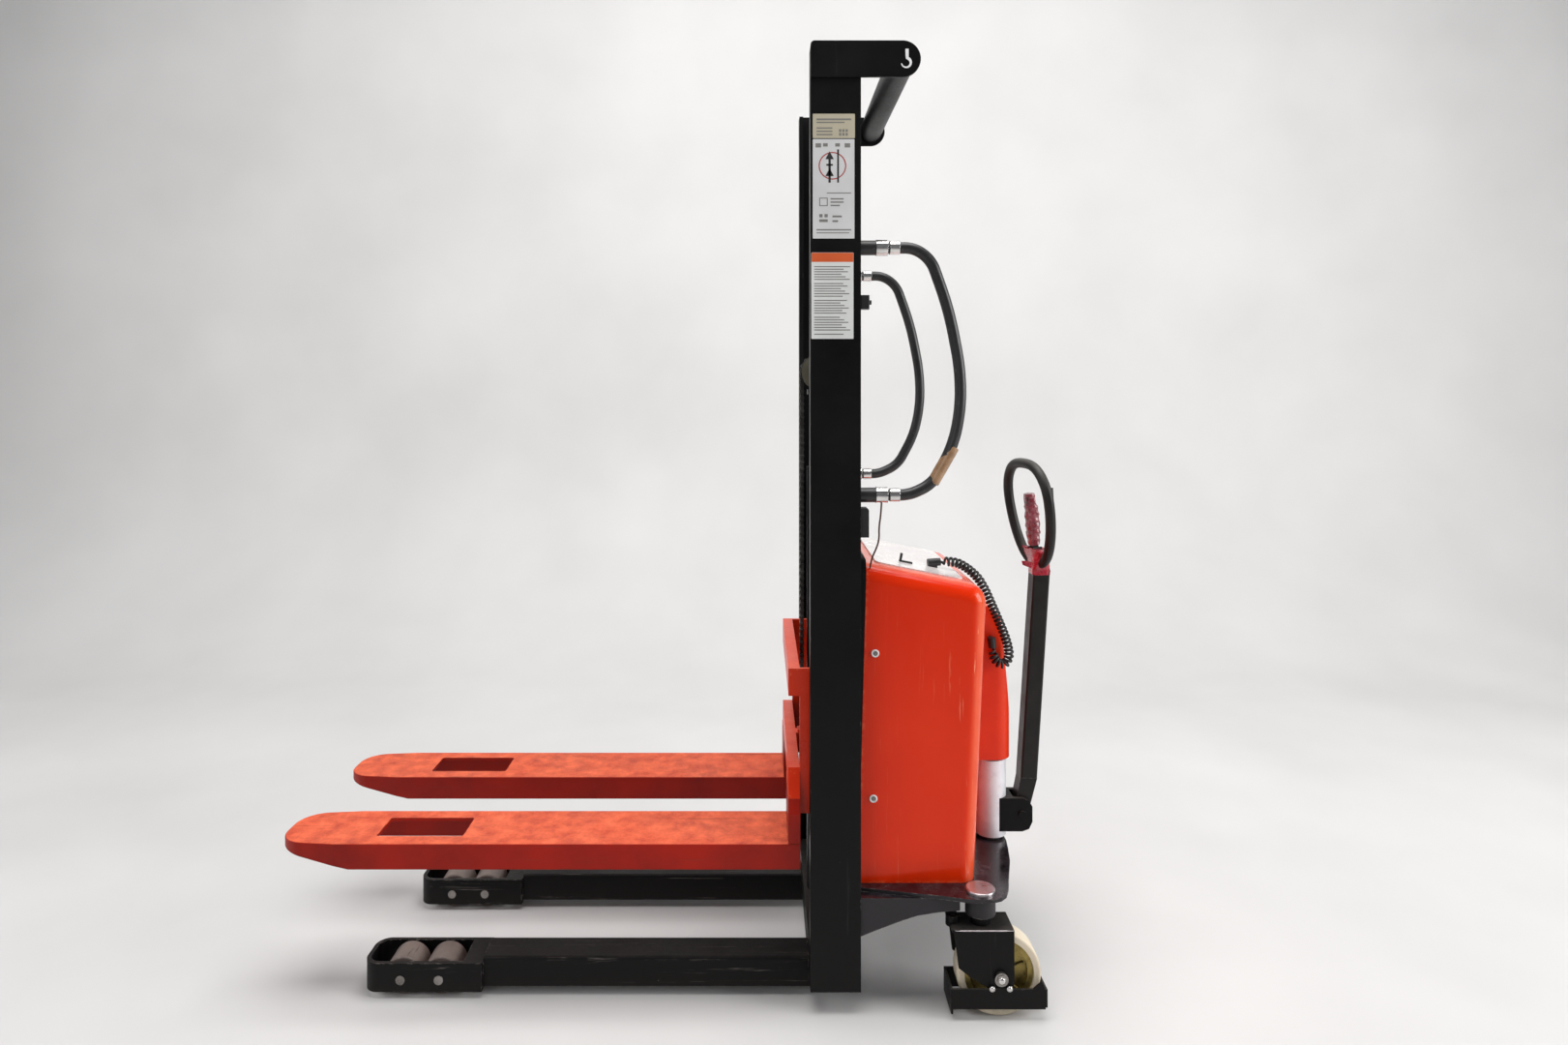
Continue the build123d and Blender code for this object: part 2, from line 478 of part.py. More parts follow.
rf = rear_frame(120, 760)
plate = rf * Pos(0, 0, 1.5) * Box(210, 84, 3)
plate = fillet([e for e in plate.edges() if 2.5 < e.length < 3.5], 8)
plate += rf * Pos(-78, 0, 5) * Box(28, 52, 4)                        # charge gauge
plate += rf * (Pos(-5, 0, 6) * Cylinder(20, 6)) + rf * (Pos(62, 0, 6) * Cylinder(14, 6))
plate -= rf * (Pos(-5, 0, 6) * Cylinder(9.3, 20))
plate -= rf * (Pos(62, 0, 10) * Cylinder(5.3, 12))
put("switch_plate", plate)
put("stop_button", rf * (Pos(-5, 0, 12.5) * Cylinder(9, 13) + Pos(-5, 0, 23) * Cylinder(19, 8)))
put("ignition_key", rf * (Pos(62, 0, 9.7) * Cylinder(5, 11) + Pos(62, 0, 25) * Box(20, 2.5, 20)))

# ---------------------------------------------------------------- machinery under the cover
batt = [fillet(box(252, 352, y0, y0 + 185, BASE_Z1, 462).edges().filter_by(Axis.Z), 6) for y0 in (-190, 5)]
group("batteries", *batt)
tank = fillet(box(262, 352, -200, -20, 482, 690).edges(), 8)
put("hydraulic_tank", tank + box(280, 340, -22, 50, 482, 590))
motor = cy(310, 536, 50, 190, 48)
put("pump_motor", fillet(motor.edges().filter_by(GeomType.CIRCLE), 4))
put("motor_controller", box(250, 270, 20, 170, 640, 780))
frame_in = box(240, 250, -205, 205, BASE_Z1, 800) + box(250, 360, -205, 205, 470, 482)
col_br = box(440, 567, -26, 26, 462, 474) + cz(COL_X, 0, 462, 474, 26) + box(430, 450, -26, 26, BASE_Z1, 474)
col_br -= cz(COL_X, 0, 450, 490, 15.1)
group("inner_frame", frame_in, col_br)

# ---------------------------------------------------------------- C-shaped grab handles
HANDLE = [(256, 1643), (340, 1643), (376, 1616), (414, 1509.5), (438, 1384), (440, 1300), (424, 1217), (379, 1133), (328, 1109), (256, 1109)]
hy = -268.0


def grab_handle(y):
    pts = [(x, y, z) for x, z in HANDLE]
    rr = corner_radii(pts, 0.48)
    rr[-1] *= 0.36 / 0.48                    # keeps the lower ferrules on a straight length
    return tube_along(pts, rr, 12.5)


handle = grab_handle(hy)
for z in (1643.0, 1109.0):
    handle += cx(hy, z, MAST_X1, 256, 16)
pair("grab_handle", handle)
rings = []
for z in (1643.0, 1109.0):
    a = cx(hy, z, 256, 281, 17.5) - cx(hy, z, 256, 281, 12.6)
    b = cx(hy, z, 286, 307, 15) - cx(hy, z, 286, 307, 12.6)
    rings += [a, b, flip(a), flip(b)]
group("handle_ferrules", *rings)

put("limit_switch", fillet(box(MAST_X1, 240, -292, -268, 1509, 1539).edges().filter_by(Axis.Z), 2) + cx(-280, 1524, 240, 245, 5))
cb = box(MAST_X1, 239, -290, -262, 1020, 1083)
cb = fillet(edges_along(cb, Axis.Y, lambda c: c.X > 235 and c.Z > 1060), 6)
put("junction_box", cb)

# ---------------------------------------------------------------- cords
# coiled lead: out of a plug on the panel, over the rear corner, hooks back into
# a socket on the side of the column cover. The solid is its outer envelope.
CORD_R = 11.0
CORD = [(427, -96, 934.6), (459, -94, 936.5), (493.5, -85, 918), (523.5, -78, 890), (545.4, -73, 847), (565, -67, 802.6),
        (582.4, -62, 764.8), (594.9, -58, 729.3), (598.8, -57, 703.5), (588.5, -57, 684), (570, -58, 687), (559.5, -59, 705), (558, -58, 724)]
cord_radii = corner_radii(CORD)
print("coiled lead radii", [round(r, 1) for r in cord_radii])
cord = tube_along(CORD, cord_radii, CORD_R)
print("coiled lead volume", round(cord.volume), "solids", len(cord.solids()))
put("coiled_lead", cord)

vec0 = (Vector(*CORD[1]) - Vector(*CORD[0])).normalized()
p0 = Vector(*CORD[0])
plug = Solid.extrude(Face(Wire.make_circle(9, Plane(origin=p0, z_dir=vec0))), vec0 * -30)
plug += box(p0.X - 26, p0.X - 8, p0.Y - 8, p0.Y + 8, 905, p0.Z)
plug -= panel_frame * Pos(0, 0, -20 + 3.0) * Box(600, 600, 40)
plug = sorted(plug.solids(), key=lambda q: q.volume)[-1]
pe = Vector(*CORD[-1])
ve = (Vector(*CORD[-1]) - Vector(*CORD[-2])).normalized()
elbow_plug = Solid.extrude(Face(Wire.make_circle(9, Plane(origin=pe, z_dir=ve))), ve * 24)
elbow_plug += cy(pe.X - 1, pe.Z + 16, pe.Y, -39, 8)
elbow_plug -= column_cover
elbow_plug -= box(470, COL_X, -39.9, 39.9, 450, 830)
elbow_plug = sorted(elbow_plug.solids(), key=lambda q: q.volume)[-1]
group("lead_plugs", plug, elbow_plug)

# thin wire from the lower ferrule of the left handle to the top front corner of the cover
WIRE_R = 2.0
WIRE = [(268, -272, 1092.6), (266, -276, 1066), (261.5, -279, 1041), (262.5, -276, 1013), (256, -263, 988), (250, -243, 968), (248, -226, 943.5)]
wire_radii = corner_radii(WIRE)
print("wire radii", [round(r, 1) for r in wire_radii])
wire = tube_along(WIRE, wire_radii, WIRE_R)
print("wire volume", round(wire.volume))
put("ferrule_wire", wire)

# ---------------------------------------------------------------- export
if __name__ == "__main__":
    os.makedirs("parts", exist_ok=True)
    shift = Location((SHIFT_X, 0, 0))
    lo = [1e9] * 3
    hi = [-1e9] * 3
    for name, solids in PARTS.items():
        moved = [s.moved(shift) for s in solids]
        shape = moved[0] if len(moved) == 1 else Compound(children=moved)
        export_step(shape, "parts/%s.step" % name)
        for s in moved:
            bb = s.bounding_box()
            for i, (a, b) in enumerate(((bb.min.X, bb.max.X), (bb.min.Y, bb.max.Y), (bb.min.Z, bb.max.Z))):
                lo[i] = min(lo[i], a)
                hi[i] = max(hi[i], b)
    print(len(PARTS), "nodes; box", [round(v, 2) for v in lo], [round(v, 2) for v in hi])
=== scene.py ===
import bpy, bmesh
from math import sin, cos, pi, radians, degrees, tan, sqrt, atan2, hypot
from mathutils import Vector, Matrix, noise


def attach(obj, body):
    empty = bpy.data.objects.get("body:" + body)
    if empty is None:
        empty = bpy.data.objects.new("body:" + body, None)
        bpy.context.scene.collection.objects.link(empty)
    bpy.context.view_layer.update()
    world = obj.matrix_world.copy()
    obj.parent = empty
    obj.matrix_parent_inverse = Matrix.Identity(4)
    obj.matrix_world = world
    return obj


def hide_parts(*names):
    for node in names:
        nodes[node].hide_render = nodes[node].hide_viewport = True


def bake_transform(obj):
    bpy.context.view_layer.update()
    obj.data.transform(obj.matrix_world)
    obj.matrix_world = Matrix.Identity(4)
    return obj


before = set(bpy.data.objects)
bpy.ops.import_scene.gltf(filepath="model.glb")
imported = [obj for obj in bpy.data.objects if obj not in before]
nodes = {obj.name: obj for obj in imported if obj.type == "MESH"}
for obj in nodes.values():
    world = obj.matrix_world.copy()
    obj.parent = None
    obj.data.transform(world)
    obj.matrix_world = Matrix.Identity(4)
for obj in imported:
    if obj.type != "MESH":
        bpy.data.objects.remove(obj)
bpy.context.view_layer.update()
SX = 170.555


def P(x, y, z):
    """Drawing millimetres (X measured from the mast datum) to row metres."""
    return Vector(((x + SX) / 1000.0, y / 1000.0, z / 1000.0))


def lin(r, g, b):
    def f(c):
        c /= 255.0
        return c / 12.92 if c <= 0.04045 else ((c + 0.055) / 1.055) ** 2.4
    return (f(r), f(g), f(b), 1.0)


# ------------------------------------------------------------------ materials
class Mat:
    def __init__(self, name):
        self.m = bpy.data.materials.new(name)
        self.m.use_nodes = True
        self.t = self.m.node_tree
        self.t.nodes.clear()
        self.out = self.add("ShaderNodeOutputMaterial")
        self.b = self.add("ShaderNodeBsdfPrincipled")
        self.t.links.new(self.b.outputs[0], self.out.inputs[0])
        self.co = self.add("ShaderNodeTexCoord").outputs["Object"]
        self.geo = self.add("ShaderNodeNewGeometry")

    def add(self, kind, **props):
        n = self.t.nodes.new(kind)
        for k, v in props.items():
            setattr(n, k, v)
        return n

    def link(self, a, b):
        self.t.links.new(a, b)

    def put(self, sock, v):
        if isinstance(v, bpy.types.NodeSocket):
            self.link(v, sock)
        else:
            sock.default_value = v

    def scaled(self, s):
        n = self.add("ShaderNodeMapping")
        self.link(self.co, n.inputs["Vector"])
        n.inputs["Scale"].default_value = s
        return n.outputs[0]

    def noise(self, scale, detail=3.0, rough=0.55, co=None, distort=0.0):
        n = self.add("ShaderNodeTexNoise")
        self.link(co if co is not None else self.co, n.inputs["Vector"])
        n.inputs["Scale"].default_value = scale
        n.inputs["Detail"].default_value = detail
        n.inputs["Roughness"].default_value = rough
        n.inputs["Distortion"].default_value = distort
        return n.outputs[0]

    def rng(self, v, a, b, c=0.0, d=1.0):
        n = self.add("ShaderNodeMapRange")
        n.clamp = True
        self.put(n.inputs[0], v)
        for i, x in enumerate((a, b, c, d)):
            n.inputs[i + 1].default_value = x
        return n.outputs[0]

    def math(self, op, a, b=0.0):
        n = self.add("ShaderNodeMath", operation=op)
        self.put(n.inputs[0], a)
        self.put(n.inputs[1], b)
        return n.outputs[0]

    def mix(self, f, a, b):
        n = self.add("ShaderNodeMix", data_type="RGBA")
        self.put(n.inputs[0], f)
        self.put(n.inputs[6], a)
        self.put(n.inputs[7], b)
        return n.outputs[2]

    def sep(self, v):
        n = self.add("ShaderNodeSeparateXYZ")
        self.link(v, n.inputs[0])
        return n.outputs

    def up(self, a=0.6, b=0.95):
        return self.rng(self.sep(self.geo.outputs["Normal"])[2], a, b)

    def z(self, a, b, c=0.0, d=1.0):
        return self.rng(self.sep(self.co)[2], a, b, c, d)

    def x(self, a, b, c=0.0, d=1.0):
        return self.rng(self.sep(self.co)[0], a, b, c, d)

    def edge(self, radius=0.004, lo=0.995, hi=0.86):
        bv = self.add("ShaderNodeBevel", samples=4)
        bv.inputs["Radius"].default_value = radius
        d = self.add("ShaderNodeVectorMath", operation="DOT_PRODUCT")
        self.link(bv.outputs[0], d.inputs[0])
        self.link(self.geo.outputs["Normal"], d.inputs[1])
        return self.rng(d.outputs["Value"], lo, hi)

    def bump(self, height, strength=0.2, dist=0.001, bevel=0.0):
        n = self.add("ShaderNodeBump")
        n.inputs["Strength"].default_value = strength
        n.inputs["Distance"].default_value = dist
        self.put(n.inputs["Height"], height)
        if bevel:
            bv = self.add("ShaderNodeBevel", samples=4)
            bv.inputs["Radius"].default_value = bevel
            self.link(bv.outputs[0], n.inputs["Normal"])
        self.link(n.outputs[0], self.b.inputs["Normal"])

    def done(self, color, rough, metal=0.0, **extra):
        self.put(self.b.inputs["Base Color"], color)
        self.put(self.b.inputs["Roughness"], rough)
        self.put(self.b.inputs["Metallic"], metal)
        for k, v in extra.items():
            self.b.inputs[k.replace("_", " ")].default_value = v
        return self.m


def painted(name, base, deep, rough=0.35, chip=None, chip_at=0.62, edge_r=0.003, dust_and_top_highlight=None, dust_and_highlight_amt=0.0,
            scratch=None, scratch_amt=0.0, scr_scale=(1.5, 90, 90), bump=0.08, bev=0.0012, metal=0.0, grime=None,
            grime_z=(0.12, 0.02), grime_amt=0.0, **extra):
    k = Mat(name)
    broad = k.noise(5.0, 4.0, 0.6)
    fine = k.noise(160.0, 2.0, 0.6)
    col = k.mix(k.rng(broad, 0.32, 0.68), deep, base)
    rg = k.math("ADD", k.rng(broad, 0.3, 0.7, rough * 0.8, rough * 1.2), k.rng(fine, 0.35, 0.65, -0.03, 0.04))
    height = fine
    if dust_and_top_highlight is not None:
        # upward faces are mixed toward dust_and_top_highlight: real grey dust on the black and grey finishes, painted
        # highlight on the lit tops in the two orange paints
        d = k.math("MULTIPLY", k.up(), k.rng(k.noise(26.0, 6.0, 0.7), 0.3, 0.7, 0.25 * dust_and_highlight_amt, dust_and_highlight_amt))
        col = k.mix(d, col, dust_and_top_highlight)
        rg = k.math("ADD", rg, k.math("MULTIPLY", d, 0.35))
    if scratch is not None:
        s1 = k.noise(1.0, 5.0, 0.75, k.scaled(scr_scale), 0.4)
        s2 = k.noise(9.0, 3.0, 0.6)
        s = k.math("MULTIPLY", k.rng(s1, 0.60, 0.68), k.rng(s2, 0.42, 0.6, 0.0, scratch_amt))
        col = k.mix(s, col, scratch)
        rg = k.math("ADD", rg, k.math("MULTIPLY", s, 0.2))
    if grime is not None:
        g = k.math("MULTIPLY", k.z(grime_z[0], grime_z[1]), k.rng(k.noise(22.0, 5.0, 0.7), 0.35, 0.65, 0.1, grime_amt))
        col = k.mix(g, col, grime)
        rg = k.math("ADD", rg, k.math("MULTIPLY", g, 0.3))
    if chip is not None:
        e = k.edge(edge_r)
        w = k.math("MULTIPLY", e, k.rng(k.noise(55.0, 6.0, 0.75), chip_at - 0.08, chip_at + 0.02))
        spots = k.rng(k.noise(38.0, 7.0, 0.8), 0.70, 0.73, 0.0, 0.8)
        w = k.math("MAXIMUM", w, spots)
        col = k.mix(w, col, chip)
        rg = k.math("ADD", rg, k.math("MULTIPLY", w, 0.15))
        height = k.math("SUBTRACT", k.math("MULTIPLY", fine, 0.25), k.math("MULTIPLY", w, 0.8))
    k.bump(height, bump, 0.0008, bev)
    return k.done(col, rg, metal, **extra)


def metal(name, base, deep, rough=0.25, brushed=None, bump=0.05, bev=0.001, stain=None, stain_amt=0.3, m=1.0):
    k = Mat(name)
    broad = k.noise(14.0, 5.0, 0.6)
    co = k.scaled(brushed) if brushed else None
    fine = k.noise(1.0 if brushed else 220.0, 3.0, 0.6, co)
    col = k.mix(k.rng(broad, 0.3, 0.7), deep, base)
    if stain is not None:
        col = k.mix(k.rng(k.noise(48.0, 7.0, 0.75), 0.5, 0.72, 0.0, stain_amt), col, stain)
    rg = k.math("ADD", k.rng(broad, 0.3, 0.7, rough * 0.75, rough * 1.3), k.rng(fine, 0.3, 0.7, -0.05, 0.07))
    k.bump(fine, bump, 0.0005, bev)
    return k.done(col, rg, m)


MT = {}
# the pale salmon on the upward faces of orange_paint is painted highlight for the lit tops of the carriage and column
# cover, with some dust
MT["orange_paint"] = painted("orange_paint", lin(226, 54, 12), lin(206, 42, 7), 0.34, lin(120, 60, 44), 0.62,
                             dust_and_top_highlight=lin(240, 128, 104), dust_and_highlight_amt=0.6, scratch=lin(240, 120, 86), scratch_amt=0.4, scr_scale=(70, 3, 70),
                             Coat_Weight=0.12, Coat_Roughness=0.25, Specular_IOR_Level=0.2)
# the light salmon on the upward faces of orange_worn is painted highlight for the lit fork tops, with some dust and
# wear
MT["orange_worn"] = painted("orange_worn", lin(170, 28, 8), lin(132, 17, 6), 0.46, lin(96, 48, 36), 0.57, edge_r=0.005,
                            dust_and_top_highlight=lin(240, 116, 78), dust_and_highlight_amt=0.95, scratch=lin(112, 50, 40), scratch_amt=0.7, scr_scale=(2.0, 95, 95),
                            bump=0.15, Coat_Weight=0.05, Coat_Roughness=0.3, Specular_IOR_Level=0.18)


def cover_material():
    k = Mat("orange_gloss")
    broad = k.noise(3.2, 3.0, 0.5)
    fine = k.noise(420.0, 1.0, 0.5)
    col = k.mix(k.rng(broad, 0.3, 0.7), lin(211, 40, 2), lin(223, 49, 4))
    # long shallow scratches and rubbed patches near the rear corners; the pale band on the rounded vertical corners
    # further down is painted highlight standing in for a reflection, not wear
    s1 = k.noise(1.0, 4.0, 0.7, k.scaled((130, 60, 4.0)), 0.6)
    s = k.math("MULTIPLY", k.rng(s1, 0.61, 0.65), k.rng(k.noise(7.0, 3.0, 0.6), 0.42, 0.6, 0.0, 0.85))
    s = k.math("MULTIPLY", s, k.x(0.585, 0.635, 0.12, 1.0))
    n3 = k.sep(k.geo.outputs["Normal"])
    s = k.math("MULTIPLY", s, k.rng(n3[0], 0.5, 0.95, 1.0, 0.22))
    col = k.mix(s, col, lin(244, 172, 130))
    rub = k.math("MULTIPLY", k.edge(0.012, 0.999, 0.95), k.rng(k.noise(60.0, 6.0, 0.75), 0.45, 0.62, 0.0, 0.55))
    col = k.mix(rub, col, lin(242, 128, 84))
    # painted highlight: a pale orange band on the rounded vertical corners of the cover, painted where a reflection of
    # light shows
    corner_highlight = k.math("MULTIPLY", n3[0], n3[1])
    corner_highlight = k.rng(k.math("MULTIPLY", corner_highlight, corner_highlight), 0.03, 0.2, 0.0, 0.38)
    corner_highlight = k.math("MULTIPLY", corner_highlight, k.rng(k.noise(11.0, 4.0, 0.6), 0.25, 0.75, 0.55, 1.0))
    col = k.mix(corner_highlight, col, lin(252, 138, 92))
    low = k.math("MULTIPLY", k.z(0.31, 0.256), k.rng(k.noise(18.0, 6.0, 0.7), 0.35, 0.7, 0.0, 0.35))
    col = k.mix(low, col, lin(150, 30, 10))
    top = k.math("MULTIPLY", k.up(0.75, 0.98), k.rng(k.noise(9.0, 5.0, 0.65), 0.3, 0.7, 0.15, 0.5))
    col = k.mix(top, col, lin(240, 170, 146))
    rg = k.math("ADD", k.rng(broad, 0.3, 0.7, 0.16, 0.24), k.math("MULTIPLY", s, 0.3))
    wav = k.noise(5.5, 2.0, 0.5)
    h = k.math("ADD", k.math("MULTIPLY", wav, 6.0), k.math("ADD", k.math("MULTIPLY", fine, 0.06), k.math("MULTIPLY", s, -0.5)))
    k.bump(h, 0.12, 0.001, 0.0012)
    return k.done(col, rg, 0.0, Coat_Weight=0.16, Coat_Roughness=0.1, Specular_IOR_Level=0.16)


MT["orange_gloss"] = cover_material()
MT["black_paint"] = painted("black_paint", lin(11, 11, 11), lin(7, 6, 7), 0.42, lin(108, 104, 100), 0.66, edge_r=0.0025,
                            dust_and_top_highlight=lin(96, 90, 86), dust_and_highlight_amt=0.4, scratch=lin(58, 56, 56), scratch_amt=0.3, scr_scale=(60, 60, 2.5),
                            grime=lin(40, 35, 31), grime_z=(0.3, 0.02), grime_amt=0.12, bump=0.07, Specular_IOR_Level=0.16)
MT["leg_paint"] = painted("leg_paint", lin(10, 9, 9), lin(6, 6, 6), 0.46, lin(134, 124, 118), 0.60, edge_r=0.004,
                          dust_and_top_highlight=lin(74, 68, 66), dust_and_highlight_amt=0.3, scratch=lin(112, 106, 102), scratch_amt=0.8, scr_scale=(2.5, 80, 80),
                          grime=lin(58, 51, 45), grime_z=(0.06, 0.0), grime_amt=0.25, bump=0.12, Specular_IOR_Level=0.18)


def base_gloss():
    k = Mat("base_gloss")
    broad = k.noise(7.0, 4.0, 0.6)
    fine = k.noise(240.0, 2.0, 0.6)
    col = k.mix(k.rng(broad, 0.3, 0.7), lin(14, 11, 15), lin(26, 20, 27))
    d = k.math("MULTIPLY", k.up(), k.rng(k.noise(30.0, 6.0, 0.7), 0.4, 0.75, 0.0, 0.35))
    col = k.mix(d, col, lin(96, 88, 92))
    w = k.math("MULTIPLY", k.edge(0.003), k.rng(k.noise(50.0, 6.0, 0.7), 0.5, 0.6))
    col = k.mix(w, col, lin(126, 118, 112))
    rg = k.math("ADD", k.rng(broad, 0.3, 0.7, 0.14, 0.26), k.math("MULTIPLY", d, 0.4))
    rg = k.math("ADD", rg, k.rng(k.up(0.2, 0.8), 0.0, 1.0, 0.45, 0.0))
    k.bump(fine, 0.06, 0.0006, 0.0012)
    return k.done(col, rg, 0.0, Coat_Weight=0.12, Coat_Roughness=0.1, Specular_IOR_Level=0.5)


MT["base_gloss"] = base_gloss()
MT["chrome"] = metal("chrome", lin(228, 226, 224), lin(196, 194, 192), 0.12, stain=lin(120, 100, 84), stain_amt=0.35)
MT["column_silver"] = metal("column_silver", lin(238, 238, 241), lin(222, 222, 227), 0.36, (160, 160, 3), stain=lin(170, 168, 172), stain_amt=0.3, m=0.1)
MT["zinc_cap"] = metal("zinc_cap", lin(222, 214, 216), lin(184, 176, 178), 0.3, (30, 220, 220), stain=lin(150, 140, 138), stain_amt=0.4)
MT["bare_steel"] = metal("bare_steel", lin(168, 164, 160), lin(112, 108, 104), 0.32, (12, 180, 180), stain=lin(70, 58, 50), stain_amt=0.5)
MT["chain_steel"] = metal("chain_steel", lin(96, 94, 92), lin(52, 50, 48), 0.36, stain=lin(34, 28, 22), stain_amt=0.75, bev=0.0004)
MT["cast_sheave"] = painted("cast_sheave", lin(108, 104, 88), lin(74, 72, 60), 0.5, lin(150, 146, 136), 0.6, edge_r=0.003, bump=0.25, metal=0.35)
MT["tread_cream"] = painted("tread_cream", lin(228, 216, 194), lin(198, 184, 158), 0.48, None, dust_and_top_highlight=None, grime=lin(112, 98, 80), grime_z=(0.16, 0.0),
                            grime_amt=0.55, scratch=lin(134, 118, 98), scratch_amt=0.4, scr_scale=(60, 8, 60), bump=0.2, bev=0.0015,
                            Subsurface_Weight=0.08, Subsurface_Scale=0.004)
MT["hub_yellow_zinc"] = metal("hub_yellow_zinc", lin(176, 158, 92), lin(116, 96, 56), 0.38, stain=lin(48, 34, 24), stain_amt=0.85, m=0.8)
MT["roller_nylon"] = painted("roller_nylon", lin(150, 134, 126), lin(96, 84, 78), 0.55, lin(196, 184, 176), 0.6, edge_r=0.005,
                             scratch=lin(58, 50, 46), scratch_amt=0.8, scr_scale=(70, 4, 70), bump=0.25, bev=0.002, grime=lin(70, 60, 52),
                             grime_z=(0.08, 0.0), grime_amt=0.6)
MT["black_plastic"] = painted("black_plastic", lin(30, 30, 31), lin(20, 20, 21), 0.42, None, bump=0.3, bev=0.0012, dust_and_top_highlight=lin(92, 88, 84), dust_and_highlight_amt=0.3)
MT["battery_case"] = painted("battery_case", lin(46, 47, 50), lin(32, 33, 36), 0.5, None, bump=0.35, dust_and_top_highlight=lin(120, 114, 106), dust_and_highlight_amt=0.5)
MT["pale_panel"] = painted("pale_panel", lin(238, 233, 231), lin(226, 219, 218), 0.24, None, bump=0.03, scratch=lin(184, 178, 178),
                           scratch_amt=0.25, scr_scale=(4, 60, 60), Coat_Weight=0.5, Coat_Roughness=0.12)
MT["red_button"] = painted("red_button", lin(196, 22, 20), lin(162, 14, 14), 0.26, None, bump=0.08, bev=0.002, Coat_Weight=0.5, Coat_Roughness=0.1)
MT["cable_black"] = painted("cable_black", lin(30, 29, 30), lin(20, 19, 20), 0.38, None, bump=0.1, bev=0.0, dust_and_top_highlight=lin(74, 70, 68), dust_and_highlight_amt=0.3)
MT["wire_brown"] = painted("wire_brown", lin(92, 62, 44), lin(66, 42, 30), 0.45, None, bump=0.1, bev=0.0)


def grip_material():
    k = Mat("grip_black")
    broad = k.noise(16.0, 5.0, 0.6)
    grain = k.noise(520.0, 3.0, 0.7)
    col = k.mix(k.rng(broad, 0.3, 0.72), lin(16, 15, 14), lin(32, 30, 27))
    col = k.mix(k.math("MULTIPLY", k.up(0.2, 0.9), 0.35), col, lin(120, 116, 110))
    w = k.math("MULTIPLY", k.edge(0.002), k.rng(k.noise(60.0, 6.0, 0.7), 0.5, 0.6))
    col = k.mix(w, col, lin(140, 132, 124))
    rg = k.rng(broad, 0.3, 0.7, 0.34, 0.5)
    k.bump(grain, 0.25, 0.0004, 0.001)
    return k.done(col, rg, 0.0, Specular_IOR_Level=0.3)


MT["grip_black"] = grip_material()


def rubber_hose():
    k = Mat("handle_sleeve")
    broad = k.noise(9.0, 5.0, 0.6)
    rings = k.noise(1.0, 3.0, 0.6, k.scaled((30, 30, 260)))
    col = k.mix(k.rng(broad, 0.3, 0.7), lin(26, 26, 27), lin(40, 39, 39))
    sc = k.math("MULTIPLY", k.rng(k.noise(70.0, 7.0, 0.8), 0.6, 0.68), 0.5)
    col = k.mix(sc, col, lin(96, 92, 90))
    k.bump(rings, 0.15, 0.0004, 0.0008)
    return k.done(col, k.rng(broad, 0.3, 0.7, 0.3, 0.44), 0.0)


MT["handle_sleeve"] = rubber_hose()


def tape_material(name, a, b, rough, trans=0.0, wr=90.0):
    k = Mat(name)
    wrink = k.noise(wr, 5.0, 0.7, None, 1.2)
    broad = k.noise(34.0, 4.0, 0.6)
    col = k.mix(k.rng(broad, 0.32, 0.68), a, b)
    k.bump(wrink, 0.55, 0.0012)
    return k.done(col, k.rng(wrink, 0.3, 0.7, rough * 0.6, rough * 1.3), 0.0, Transmission_Weight=trans, Coat_Weight=0.5, Coat_Roughness=0.15)


MT["tape_brown"] = tape_material("tape_brown", lin(120, 86, 58), lin(164, 128, 92), 0.35)
MT["tape_red"] = tape_material("tape_red", lin(150, 14, 32), lin(206, 34, 62), 0.28, 0.12)
# lever film: deep red mixed at random with pinkish white; the pinkish white is painted highlight on the film's folds
MT["tape_pink"] = tape_material("tape_pink", lin(176, 92, 100), lin(120, 14, 34), 0.25, 0.25)
MT["label_beige"] = painted("label_beige", lin(188, 180, 158), lin(172, 164, 142), 0.45, None, bump=0.05, bev=0.0)
MT["label_grey"] = painted("label_grey", lin(212, 212, 212), lin(196, 196, 197), 0.42, None, bump=0.05, bev=0.0)
MT["label_white"] = painted("label_white", lin(226, 227, 225), lin(208, 210, 207), 0.42, None, bump=0.05, bev=0.0)
MT["ink_orange"] = painted("ink_orange", lin(212, 96, 46), lin(196, 82, 36), 0.42, None, bump=0.05, bev=0.0)
MT["ink_black"] = painted("ink_black", lin(44, 42, 42), lin(32, 30, 30), 0.5, None, bump=0.05, bev=0.0)
MT["ink_red"] = painted("ink_red", lin(170, 60, 56), lin(150, 48, 44), 0.5, None, bump=0.05, bev=0.0)
MT["ink_grey"] = painted("ink_grey", lin(128, 126, 122), lin(112, 110, 106), 0.5, None, bump=0.05, bev=0.0)
MT["ink_white"] = painted("ink_white", lin(240, 240, 240), lin(226, 226, 226), 0.45, None, bump=0.05, bev=0.0)

